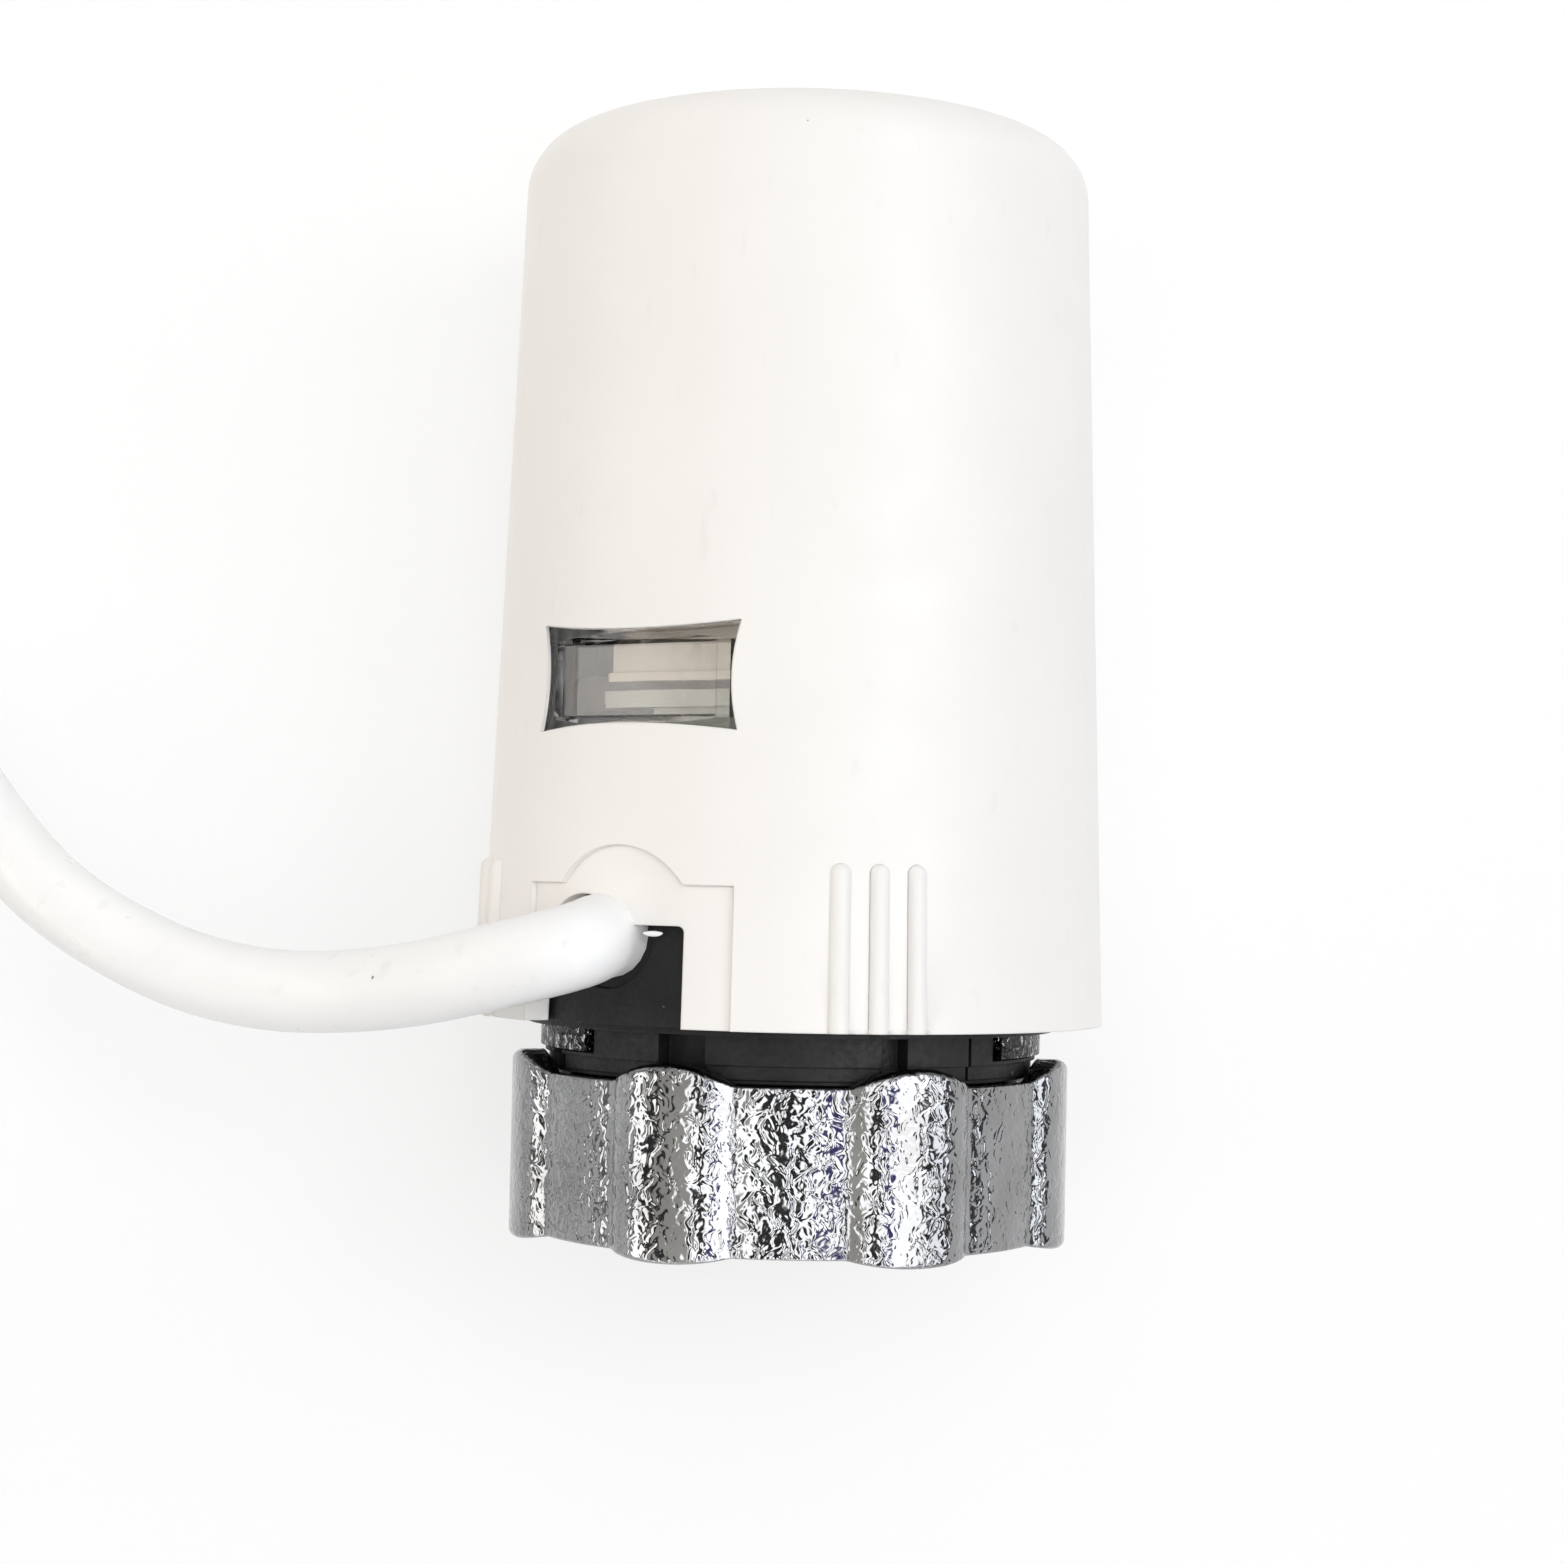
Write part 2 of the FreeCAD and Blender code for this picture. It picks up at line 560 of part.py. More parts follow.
def guide_bush():
    low = NECK_LOW_Z + 1.25
    high = BASE_FLOOR_Z + BUSH_FLANGE
    b = lathe([(TIP_R + RUN, low), (BUSH_R, low), (BUSH_R, BASE_FLOOR_Z), (BUSH_R + 1.2, BASE_FLOOR_Z),
               (BUSH_R + 1.2, high), (TIP_R + RUN, high)])
    return b.cut(ring(TIP_R - 1, TIP_R + 2 * SEAL_WIRE_R + 0.06, SEAL_Z - 0.8, SEAL_Z + 0.8))


def plunger_seal():
    return Part.makeTorus(TIP_R + SEAL_WIRE_R + 0.04, SEAL_WIRE_R, Vector(0, 0, SEAL_Z))


def plunger():
    stem = disc(TIP_R, TIP_Z, HEAD_LOW_Z)
    tip = [e for e in stem.Edges if e.BoundBox.ZMax < TIP_Z + 0.01 and e.BoundBox.ZLength < 0.01]
    stem = stem.makeChamfer(0.5, tip)
    head = disc(HEAD_R, HEAD_LOW_Z, CAGE_LOW_Z)
    spigot = disc(SPIGOT_R, CAGE_LOW_Z, CAGE_LOW_Z + CAGE_PLATE - 0.2)
    return fused([stem, head, spigot])


def lifting_cage():
    low = CAGE_LOW_Z
    plate = disc(HEAD_R + 1.6, low, low + CAGE_PLATE)
    beam = bar(FRONT + 90, -ARM_OUT, ARM_OUT, -CAGE_HALF_W, CAGE_HALF_W, low, low + CAGE_PLATE)
    bridge = disc(SPRING_R + SEAT_REACH + 0.2, BRIDGE_Z, BRIDGE_TOP_Z)
    top = bar(FRONT + 90, -ARM_OUT, ARM_OUT, -CAGE_HALF_W, CAGE_HALF_W, BRIDGE_Z, BRIDGE_TOP_Z)
    parts = [plate, beam, bridge, top]
    for a in (FRONT + 90, FRONT - 90):
        parts.append(bar(a, ARM_IN, ARM_OUT, -CAGE_HALF_W, CAGE_HALF_W, low, BRIDGE_TOP_Z))
        parts.append(bar(a, ARM_OUT - 0.2, ARM_OUT + 0.7, -0.7, 0.7, low, BRIDGE_TOP_Z))
    body = fused(parts)
    return body.cut(disc(SPIGOT_R + 0.05, low - 1, low + CAGE_PLATE + 1))


def position_indicator():
    # spring seat washer with a tongue that carries the flag down to the window
    top = BRIDGE_TOP_Z + SEAT_WASHER
    r_out = flag_r()
    r_in = r_out - FLAG_THICK
    seat_out = SPRING_R + SEAT_REACH
    seat = ring(SPRING_R - 2.7, seat_out, BRIDGE_TOP_Z, top)
    tongue = bar(FRONT, seat_out - 0.4, r_in + 0.3, -TONGUE_HALF, TONGUE_HALF, BRIDGE_TOP_Z, top)
    stalk = ring(r_in, r_out, FLAG_LOW_Z + FLAG_HEIGHT - 1, top)
    stalk = stalk.common(bar(FRONT, 10, CASE_FOOT_R, -TONGUE_HALF, TONGUE_HALF, FLAG_LOW_Z, top + 1))
    field = sector(FRONT + FLAG_LOW, FRONT + FLAG_HIGH, 30, FLAG_LOW_Z - 1, FLAG_LOW_Z + 10)
    flag = ring(r_in, r_out, FLAG_LOW_Z, FLAG_LOW_Z + FLAG_HEIGHT).common(field)
    lip = ring(r_in, r_out + 0.35, FLAG_LOW_Z, FLAG_LOW_Z + 0.55).common(field)
    return fused([seat, tongue, stalk, flag, lip])


def flag_r():
    # outside of the flag, behind the lens
    return case_r(WIN_Z) - CASE_WALL - LENS_DEEP - FLAG_GAP


def scale_band():
    # pale fixed strip under the flag, on a stem whose foot is seated under the frame
    r_out = flag_r() - 0.2
    r_in = r_out - FLAG_THICK
    top = FLAG_LOW_Z - STRIP_GAP
    strip = ring(r_in, r_out, top - STRIP_HEIGHT, top)
    strip = strip.common(sector(FRONT + STRIP_LOW, FRONT + FLAG_HIGH, 30, top - 10, top + 10))
    stem = ring(r_in, r_out - STRIP_STEM, FRAME_Z - 1.6, top - 0.2)
    stem = stem.common(bar(FRONT + 8, 10, CASE_FOOT_R, -2.5, 2.5, FRAME_Z - 2, top))
    foot = bar(FRONT + 8, FRAME_R - 1.8, r_out - STRIP_STEM, -2.5, 2.5, FRAME_Z - 1.6, FRAME_Z - 0.02)
    foot = foot.common(disc(r_in + 0.15, FRAME_Z - 2, FRAME_Z))
    return fused([strip, stem, foot])


def inner_frame():
    plate = ring(CUP_R + 0.15, FRAME_R, FRAME_Z, FRAME_Z + FRAME_THICK)
    parts = [plate]
    for p in post_points():
        parts.append(rod(p + UP * BASE_FLOOR_Z, UP, POST_RADIUS, FRAME_Z + 0.5 - BASE_FLOOR_Z))
    body = fused(parts)
    for p in post_points():
        body = body.cut(rod(p + UP * (BASE_FLOOR_Z - 1), UP, POST_RADIUS - 0.5, 3.4))
    side = CAGE_HALF_W + 0.4
    for a in (FRONT + 90, FRONT - 90):
        body = body.cut(bar(a, ARM_IN - 0.4, CASE_FOOT_R, -side, side, BASE_FLOOR_Z, BRIDGE_Z))
    body = body.cut(bar(FRONT, POST_R, CASE_FOOT_R, -6.5, 6.9, FRAME_Z + 0.5, BRIDGE_Z))
    band_side = sector(FRONT + STRIP_LOW - 2, FRONT + FLAG_HIGH + 2, 30,
                       FRAME_Z - 0.1, FRAME_Z + FRAME_THICK + 1)
    body = body.cut(band_side.cut(disc(flag_r() - FLAG_THICK - 0.5, FRAME_Z - 1, BRIDGE_Z)))
    for p in holder_screw_points():
        body = body.cut(rod(p + UP * (FRAME_Z - 5), UP, SCREW_R + SCREW_FIT, 12))
    return body.removeSplitter()


def holder_screw_points():
    away = turned(FRONT + 180) * HOLDER_SCREW_R
    return [away + across(FRONT + 180) * side for side in (-HOLDER_SCREW_SIDE, HOLDER_SCREW_SIDE)]


def heater_holder():
    top = FRAME_Z - 0.05
    cup = disc(HOLDER_R, HOLDER_Z, top)
    ear = bar(FRONT + 180, CUP_R + 1, HOLDER_SCREW_R + 1.8, -HOLDER_SCREW_SIDE - 2.2, HOLDER_SCREW_SIDE + 2.2,
              top - 1.75, top)
    body = cup.fuse(ear).cut(disc(CUP_R + CUP_PLAY, HOLDER_Z + 1.5, FRAME_Z + 1))
    for p in holder_screw_points():
        body = body.cut(rod(p + UP * (FRAME_Z - 5), UP, SCREW_R + SCREW_PLAY, 12))
    near = CUP_R - 2
    far = HOLDER_R + 1.6
    body = body.cut(bar(CORD_ANGLE, near, far, -3.4, -0.2, HOLDER_Z + 1.5, HOLDER_Z + 2.1))
    body = body.cut(bar(CORD_ANGLE, near, far, 0.2, 3.4, NEUTRAL_Z - 0.1, NEUTRAL_Z + SHEET + 0.24))
    return body.removeSplitter()


def holder_screws():
    top = FRAME_Z + FRAME_THICK
    out = []
    for p in holder_screw_points():
        shank = rod(p + UP * (FRAME_Z - 1.9), UP, SCREW_R, FRAME_THICK + 1.9)
        head = rod(p + UP * top, UP, SCREW_R + 0.8, 1.1)
        slot = Part.makeBox(4, 0.5, 0.5, p + Vector(-2, -0.25, top + 0.7))
        out.append(shank.fuse(head).cut(slot).removeSplitter())
    return Part.makeCompound(out)


def contact_live():
    # disc under the heater, with a tail out through the holder and a tab down to its core
    low = HOLDER_Z + 1.52
    plate = disc(CUP_R - 1.4, low, low + SHEET)
    tail = bar(CORD_ANGLE, CUP_R - 2.5, TAB_R + SHEET, -TAB_FAR, -TAB_NEAR, low, low + SHEET)
    tab = bar(CORD_ANGLE, TAB_R, TAB_R + SHEET, -TAB_FAR, -TAB_NEAR, HOLDER_Z - TAB_DROP, low + SHEET)
    return fused([plate, tail, tab])


def contact_neutral():
    # collar round the cup, with its tail and tab beside the other contact's
    high = NEUTRAL_Z + SHEET
    inside = CUP_R + 0.015
    collar = ring(inside, inside + COLLAR, NEUTRAL_Z, high)
    tail = bar(CORD_ANGLE, CUP_R - 1, TAB_R + SHEET, TAB_NEAR, TAB_FAR, NEUTRAL_Z, high)
    tail = tail.cut(disc(inside, NEUTRAL_Z - 1, high + 1))
    tab = bar(CORD_ANGLE, TAB_R, TAB_R + SHEET, TAB_NEAR, TAB_FAR, HOLDER_Z - TAB_DROP, high)
    return fused([collar, tail, tab])


def ptc_heater():
    return disc(CUP_R - 1.0, HOLDER_Z + 1.54 + SHEET, CUP_Z - 0.02)


def wax_cup():
    shoulder_low = FRAME_Z + FRAME_THICK + 0.02
    body = disc(CUP_R, CUP_Z, CUP_TOP_Z)
    flange = disc(CUP_FLANGE_R, CUP_TOP_Z - CUP_FLANGE, CUP_TOP_Z)
    shoulder = disc(CUP_R + 0.9, shoulder_low, shoulder_low + 0.88)
    return fused([body, flange, shoulder]).cut(disc(CUP_BORE_R, CUP_Z + 1.2, CUP_TOP_Z + 1))


def wax_charge():
    return disc(CUP_BORE_R - 0.05, CUP_Z + 1.22, DIAPHRAGM_Z - 0.05)


def diaphragm():
    flat = disc(CUP_BORE_R - 0.05, DIAPHRAGM_Z, DIAPHRAGM_Z + 1.25)
    return flat.fuse(disc(NOSE_R, DIAPHRAGM_Z + 0.5, DIAPHRAGM_Z + 1.55)).removeSplitter()


def piston_guide():
    plug = disc(CUP_BORE_R - 0.05, DIAPHRAGM_Z + 1.3, CUP_TOP_Z + 0.1)
    flange = disc(CUP_FLANGE_R, CUP_TOP_Z, CUP_TOP_Z + CUP_FLANGE)
    neck = disc(PISTON_R + 2.4, CUP_TOP_Z, GUIDE_TOP_Z)
    body = fused([plug, flange, neck])
    body = body.cut(disc(PISTON_R + RUN, DIAPHRAGM_Z, GUIDE_TOP_Z + 1))
    return body.cut(disc(NOSE_R + 0.15, DIAPHRAGM_Z, DIAPHRAGM_Z + 1.65))


def crimp_ring():
    # band whose two lips fold over the flanges of cup and guide
    wall_in = CUP_FLANGE_R + 0.02
    wall_out = CUP_FLANGE_R + CRIMP_PROUD
    near = CUP_FLANGE + 0.02
    far = near + CRIMP_LIP
    return fused([ring(wall_in, wall_out, CUP_TOP_Z - far, CUP_TOP_Z + far),
                  ring(CUP_R + 0.4, wall_out, CUP_TOP_Z - far, CUP_TOP_Z - near),
                  ring(PISTON_R + 4.1, wall_out, CUP_TOP_Z + near, CUP_TOP_Z + far)])


def wax_piston():
    stem = disc(PISTON_R, DIAPHRAGM_Z + 1.75, BRIDGE_Z - 1.0)
    head = disc(PISTON_R + 1.2, BRIDGE_Z - 1.8, BRIDGE_Z - 0.02)
    top = [e for e in head.Edges if e.BoundBox.ZLength < 0.01 and e.BoundBox.ZMin > BRIDGE_Z - 1]
    return stem.fuse(head.makeFillet(0.5, top)).removeSplitter()


def closing_spring():
    # round wire wound up from the washer of the indicator to the fixed seat
    low = BRIDGE_TOP_Z + SEAT_WASHER + SPRING_WIRE / 2 + SNUG
    high = SEAT_Z - SPRING_WIRE / 2 - SNUG
    rise = (high - low) / (2 * math.pi * SPRING_TURNS)
    count = int(4 * SPRING_TURNS)
    points = []
    aims = []
    for i in range(count + 1):
        t = 2 * math.pi * SPRING_TURNS * i / count
        points.append(Vector(SPRING_R * math.cos(t), SPRING_R * math.sin(t), low + rise * t))
        aims.append(Vector(-SPRING_R * math.sin(t), SPRING_R * math.cos(t), rise).normalize())
    edges = []
    for i in range(count):
        edges += biarc(points[i], aims[i], points[i + 1], aims[i + 1])
    return tube(Part.Wire(edges), SPRING_WIRE, points[0], aims[0], "closing_spring")


def spring_seat():
    # fixed seat under the crown of the casing
    plate = ring(SPRING_R - 5.3, SPRING_R + SEAT_REACH, SEAT_Z, SEAT_TOP_Z)
    pilot = ring(SPRING_R - 5.3, SPRING_R - 1.4, SEAT_Z - 1.6, SEAT_Z)
    return fused([plate, pilot])


def cable_gland():
    # rubber bush in the wall of the base, held in by the clamp
    n = turned(CORD_ANGLE)
    body = rod(n * (CLAMP_FAR + 0.05) + UP * CORD_EXIT_Z, n, GLAND_R, GLAND_RUN + 2)
    body = body.cut(cord_way(SNUG))
    wall = case_cone(CASE_WALL + BASE_PLAY + 0.15, CASE_FOOT_Z - 3, BASE_TOP_Z)
    return body.common(wall).cut(disc(BASE_R - BASE_WALL + 0.1, 0, BASE_FLOOR_Z + 0.05)).removeSplitter()


def cable_clamp():
    # bridge that grips the sheath against the saddle of the base
    c = bar(CORD_ANGLE, CLAMP_NEAR, CLAMP_FAR, -CLAMP_HALF, CLAMP_HALF, CORD_EXIT_Z - 0.55, CORD_EXIT_Z + 4.2)
    c = c.cut(cord_hole(CORD_D / 2 + SNUG, 5, CASE_FOOT_R))
    step = CLAMP_SCREW - SCREW_R - 0.4
    for low, high in ((-CLAMP_HALF - 1, -step), (step, CLAMP_HALF + 1)):
        c = c.cut(bar(CORD_ANGLE, CLAMP_NEAR - 1, CLAMP_FAR + 1, low, high,
                      CORD_EXIT_Z + 1.4, CORD_EXIT_Z + 6))
    for p in clamp_screw_points():
        c = c.cut(rod(p + UP * BASE_FLOOR_Z, UP, SCREW_R + SCREW_PLAY, 10))
    return c.removeSplitter()


def clamp_screws():
    out = []
    for p in clamp_screw_points():
        shank = rod(p + UP * (BASE_FLOOR_Z - 1.0), UP, SCREW_R, CORD_EXIT_Z + 1.4 - BASE_FLOOR_Z + 1.0)
        head = rod(p + UP * (CORD_EXIT_Z + 1.4), UP, SCREW_R + 0.35, 1.0)
        slot = Part.makeBox(4, 0.45, 0.5, p + Vector(-2, -0.225, CORD_EXIT_Z + 2.0))
        out.append(shank.fuse(head).cut(slot).removeSplitter())
    return Part.makeCompound(out)


# Route of the cable as points of straight runs: across, along the axis, up from the axis
def table_point(angle, r, z):
    v = turned(angle) * r
    return Vector(v.x, z, -v.y)


FLOOR_Z = -(CASE_FOOT_R + RIB_PROUD) * math.cos(math.radians(RIB_SETS[2] - 180 - RIB_STEP))
LOW_Z = FLOOR_Z + CORD_D / 2 + TIE_STRAP + TIE_LIFT
HIGH_Z = LOW_Z + COIL_STEP
LEAD_ROUTE = [
    table_point(CORD_ANGLE, SHEATH_END_R, CORD_EXIT_Z),
    table_point(CORD_ANGLE, 18.0, CORD_EXIT_Z),
    Vector(-16.2, 16.7, 15.4),
    Vector(-22.0, 15.2, 12.6),
    Vector(-27.4, 14.35, 9.0),
    Vector(-33.2, 14.2, 5.9),
    Vector(-39.7, 15.5, 3.0),
    Vector(-47.0, 19.1, 0.4),
    Vector(-51.8, 23.1, -2.8),
    Vector(-57.0, 29.1, -6.6),
    Vector(-66.0, 34.1, -10.1),
]


def coil_frame():
    a = math.radians(COIL_TURN)
    out = Vector(math.cos(a), math.sin(a), 0)
    fwd = Vector(-math.sin(a), math.cos(a), 0)
    return Vector(COIL_X, COIL_Y, 0), out, fwd


def tangent_path(points, note, share=0.45):
    # straight runs joined by arcs that take a share of the shorter run
    edges = []
    last = points[0]
    radii = []
    for i in range(1, len(points) - 1):
        a, b, c = points[i - 1], points[i], points[i + 1]
        u = (a - b).normalize()
        v = (c - b).normalize()
        half_turn = (math.pi - u.getAngle(v)) / 2
        cut = share * min((a - b).Length, (c - b).Length)
        radii.append(cut / math.tan(half_turn))
        p = b + u * cut
        q = b + v * cut
        centre_dir = (u + v).normalize()
        rad = radii[-1]
        centre = b + centre_dir * (rad / math.cos(half_turn))
        mid = centre - centre_dir * rad
        edges.append(Part.LineSegment(last, p).toShape())
        edges.append(Part.Arc(p, mid, q).toShape())
        last = q
    edges.append(Part.LineSegment(last, points[-1]).toShape())
    print(note, "radii", " ".join("%.1f" % r for r in radii))
    return Part.Wire(edges)


def tube(path, d, start, direction, note):
    section = Part.Wire(Part.makeCircle(d / 2, start, direction))
    solid = path.makePipeShell([section], True, False)
    want = math.pi * d * d / 4 * path.Length
    print(note, "length %.2f volume %.1f section x length %.1f" % (path.Length, solid.Volume, want))
    return solid


def lead_points():
    centre, out, fwd = coil_frame()
    start = centre + out * COIL_OUT_R + Vector(0, 0, HIGH_Z)
    return LEAD_ROUTE + [start - fwd * COIL_RUN_IN, start - fwd * CORD_D]


def cord_lead():
    pts = lead_points()
    path = tangent_path(pts, "cord_lead")
    return tube(path, CORD_D, pts[0], pts[1] - pts[0], "cord_lead"), path.Length


def coil_path():
    # half turns that spiral in on the upper layer and out on the lower one
    centre, out, fwd = coil_frame()
    radii = [COIL_OUT_R - k * COIL_STEP / 2 for k in range(COIL_HALVES)]
    inner = COIL_OUT_R - COIL_HALVES * COIL_STEP / 2
    radii = radii + [inner] + radii[::-1]
    x = COIL_OUT_R
    side = 1
    start = centre + out * x + Vector(0, 0, HIGH_Z)
    edges = [Part.LineSegment(start - fwd * CORD_D, start).toShape()]
    for k, r in enumerate(radii):
        c = x - side * r
        if k == COIL_HALVES:
            edges += climb(centre, out, fwd, c, side, r, HIGH_Z, LOW_Z)
        else:
            z = HIGH_Z if k < COIL_HALVES else LOW_Z
            for first in (0, 0.5):
                trio = []
                for t in (first, first + 0.25, first + 0.5):
                    a = math.pi * t
                    p = out * (c + side * r * math.cos(a)) + fwd * (side * r * math.sin(a))
                    trio.append(centre + p + Vector(0, 0, z))
                edges.append(Part.Arc(*trio).toShape())
        x = c - side * r
        side = -side
    end = centre + out * x + Vector(0, 0, LOW_Z)
    return edges, end, fwd * side


def add_tail(edges, end, heading, spare):
    # start of one more turn beside the outer one, then a straight end, so that the cable has its length
    r = COIL_OUT_R + COIL_STEP / 2
    sweep = (spare - CORD_D) / r
    left = UP.cross(heading)
    hub = end + left * r
    trio = [hub - left * (r * math.cos(t)) + heading * (r * math.sin(t)) for t in (0, sweep / 2, sweep)]
    edges.append(Part.Arc(*trio).toShape())
    aim = heading * math.cos(sweep) + left * math.sin(sweep)
    last = trio[2] + aim * CORD_D
    edges.append(Part.LineSegment(trio[2], last).toShape())
    return last, aim


def climb(centre, out, fwd, c, side, r, z0, z1):
    # half turn that steps down a layer, level at both ends
    n = 8
    pts = []
    for i in range(n + 1):
        t = math.pi * i / n
        s = i / n
        z = z0 + (z1 - z0) * (0.5 - 0.5 * math.cos(math.pi * s))
        p = out * (c + side * r * math.cos(t)) + fwd * (side * r * math.sin(t))
        pts.append(centre + p + Vector(0, 0, z))
    tangents = []
    for i in range(n + 1):
        t = math.pi * i / n
        s = i / n
        dz = (z1 - z0) * 0.5 * math.sin(math.pi * s) * math.pi
        tangents.append((out * (-side * r * math.sin(t) * math.pi) + fwd * (side * r * math.cos(t) * math.pi)
                         + Vector(0, 0, dz)).normalize())
    edges = []
    for i in range(n):
        edges += biarc(pts[i], tangents[i], pts[i + 1], tangents[i + 1])
    return edges


def biarc(p0, t0, p1, t1):
    # two tangent arcs between two points with given directions
    v = p1 - p0
    t = t0 + t1
    a = 2 * (1 - t0.dot(t1))
    b = 2 * v.dot(t)
    c = -v.dot(v)
    if abs(a) < 1e-12:
        d = -c / b
    else:
        d = (-b + math.sqrt(b * b - 4 * a * c)) / (2 * a)
    j = (p0 + t0 * d + p1 - t1 * d) * 0.5
    return [arc_from(p0, t0, j), arc_from_end(j, p1, t1)]


def arc_from(p, t, q):
    w = q - p
    n = (w - t * w.dot(t))
    if n.Length < 1e-9:
        return Part.LineSegment(p, q).toShape()
    n.normalize()
    r = w.dot(w) / (2 * w.dot(n))
    centre = p + n * r
    m = (p + q) * 0.5 - centre
    mid = centre + m.normalize() * r
    return Part.Arc(p, mid, q).toShape()


def arc_from_end(p, q, t):
    e = arc_from(q, t * -1, p)
    if isinstance(e.Curve, Part.Line):
        return Part.LineSegment(p, q).toShape()
    mid = e.valueAt(0.5 * (e.FirstParameter + e.LastParameter))
    return Part.Arc(p, mid, q).toShape()


def least_gap(edges, d):
    # least gap between stretches of one tube, from points along its line
    pts = []
    along = []
    s = 0.0
    for e in edges:
        count = max(2, int(e.Length / 1.5))
        for i in range(count):
            f = e.FirstParameter + (e.LastParameter - e.FirstParameter) * i / count
            pts.append(e.valueAt(f))
            along.append(s + e.Length * i / count)
        s += e.Length
    best = 1e9
    for i in range(len(pts)):
        for j in range(i + 1, len(pts)):
            if along[j] - along[i] > 4 * d:
                gap = (pts[i] - pts[j]).Length - d
                if gap < best:
                    best = gap
    return best


def core_route(end, aim, side):
    # one of the two bare cores that fan out of the end of the sheath
    away = aim.cross(UP) * side
    return [end + away * 1.05, end + away * 1.05 + aim * 4.5, end + away * 2.0 + aim * 10.0,
            end + away * 2.6 + aim * BARE_LENGTH]


def bare_core(end, aim, side, note):
    pts = core_route(end, aim, side)
    return tube(tangent_path(pts, note), CORE_D, pts[0], pts[1] - pts[0], note)


def end_ferrules(end, aim):
    out = []
    for side in (-1, 1):
        pts = core_route(end, aim, side)
        d = (pts[-1] - pts[-2]).normalize()
        collar = Part.makeCone(1.35, 1.0, 2.2, pts[-1], d)
        pin = Part.makeCylinder(0.62, FERRULE_LEN, pts[-1] + d * 2.2, d)
        out.append(collar.fuse(pin).removeSplitter())
    return Part.makeCompound(out)


def cable_tie():
    # flat strap round the coil's turns with its locking head
    near = COIL_OUT_R - COIL_STEP * COIL_HALVES / 2 - CORD_D / 2 - 1.4
    far = COIL_OUT_R + CORD_D / 2 + 1.4
    low = FLOOR_Z + 0.03
    high = HIGH_Z + CORD_D / 2 + 1.2
    outer = tie_block(near, far, low, high, 2.0)
    inner = tie_block(near + TIE_STRAP, far - TIE_STRAP, low + TIE_STRAP, high - TIE_STRAP, 1.4)
    mid = 0.5 * (near + far)
    head = Part.makeBox(4.4, TIE_WIDTH + 1.2, 2.2, Vector(mid - 2.2, -TIE_WIDTH / 2 - 0.6, high - 0.2))
    end = Part.makeBox(7.0, TIE_WIDTH - 0.6, TIE_STRAP, Vector(mid + 2.0, 0.3 - TIE_WIDTH / 2, high + 0.6))
    tie = outer.cut(inner).multiFuse([head, end]).removeSplitter()
    tie.rotate(Vector(0, 0, 0), UP, TIE_ANGLE)
    tie.translate(Vector(COIL_X, COIL_Y, 0))
    return tie


def tie_block(near, far, low, high, r):
    b = Part.makeBox(far - near, TIE_WIDTH, high - low, Vector(near, -TIE_WIDTH / 2, low))
    return b.makeFillet(r, [e for e in b.Edges if e.BoundBox.YLength > TIE_WIDTH - 0.1])


def inner_core(side, note):
    # insulated core from the end of the sheath up to its contact tab
    n = turned(CORD_ANGLE)
    a = across(CORD_ANGLE) * side
    up_r = TAB_R + SHEET + SLEEVE_R + 0.02
    pts = [n * SHEATH_END_R + a * TAB_SIDE + UP * CORD_EXIT_Z, n * up_r + a * TAB_SIDE + UP * CORD_EXIT_Z,
           n * up_r + a * TAB_SIDE + UP * (HOLDER_Z - 0.4)]
    share = min(0.9, CORE_BEND / (SHEATH_END_R - up_r))
    return tube(tangent_path(pts, note, share), CORE_D, pts[0], pts[1] - pts[0], note)


def crimp_sleeves():
    out = []
    for side in (-1, 1):
        p = turned(CORD_ANGLE) * (TAB_R + SHEET + SLEEVE_R + 0.02) + across(CORD_ANGLE) * (side * TAB_SIDE)
        tube_out = rod(p + UP * (HOLDER_Z - TAB_DROP + 0.3), UP, SLEEVE_R, 2.6)
        out.append(tube_out.cut(rod(p + UP * CORD_EXIT_Z, UP, CORE_D / 2 + 0.02, 10)))
    return Part.makeCompound(out)


def keep_table(name, shape):
    # pieces whose shape already lies on the table
    shape.translate(Vector(0, -THREAD_START_Z, 0))
    print(name, "valid", shape.isValid(), "solids", len(shape.Solids), "mm3 %.1f" % shape.Volume)
    shape.exportStep("parts/%s.step" % name)


keep("outer_casing", outer_casing())
keep("window_lens", window_lens())
keep("union_nut", union_nut())
keep("nut_retaining_ring", nut_retaining_ring())
keep("nut_slip_washer", nut_slip_washer())
keep("retaining_clip", retaining_clip())
keep("base_housing", base_housing())
keep("guide_bush", guide_bush())
keep("plunger_seal", plunger_seal())
keep("plunger", plunger())
keep("lifting_cage", lifting_cage())
keep("position_indicator", position_indicator())
keep("scale_band", scale_band())
keep("inner_frame", inner_frame())
keep("heater_holder", heater_holder())
keep("holder_screws", holder_screws())
keep("contact_live", contact_live())
keep("contact_neutral", contact_neutral())
keep("ptc_heater", ptc_heater())
keep("wax_cup", wax_cup())
keep("wax_charge", wax_charge())
keep("diaphragm", diaphragm())
keep("piston_guide", piston_guide())
keep("crimp_ring", crimp_ring())
keep("wax_piston", wax_piston())
keep("closing_spring", closing_spring())
keep("spring_seat", spring_seat())
keep("cable_gland", cable_gland())
keep("cable_clamp", cable_clamp())
keep("clamp_screws", clamp_screws())

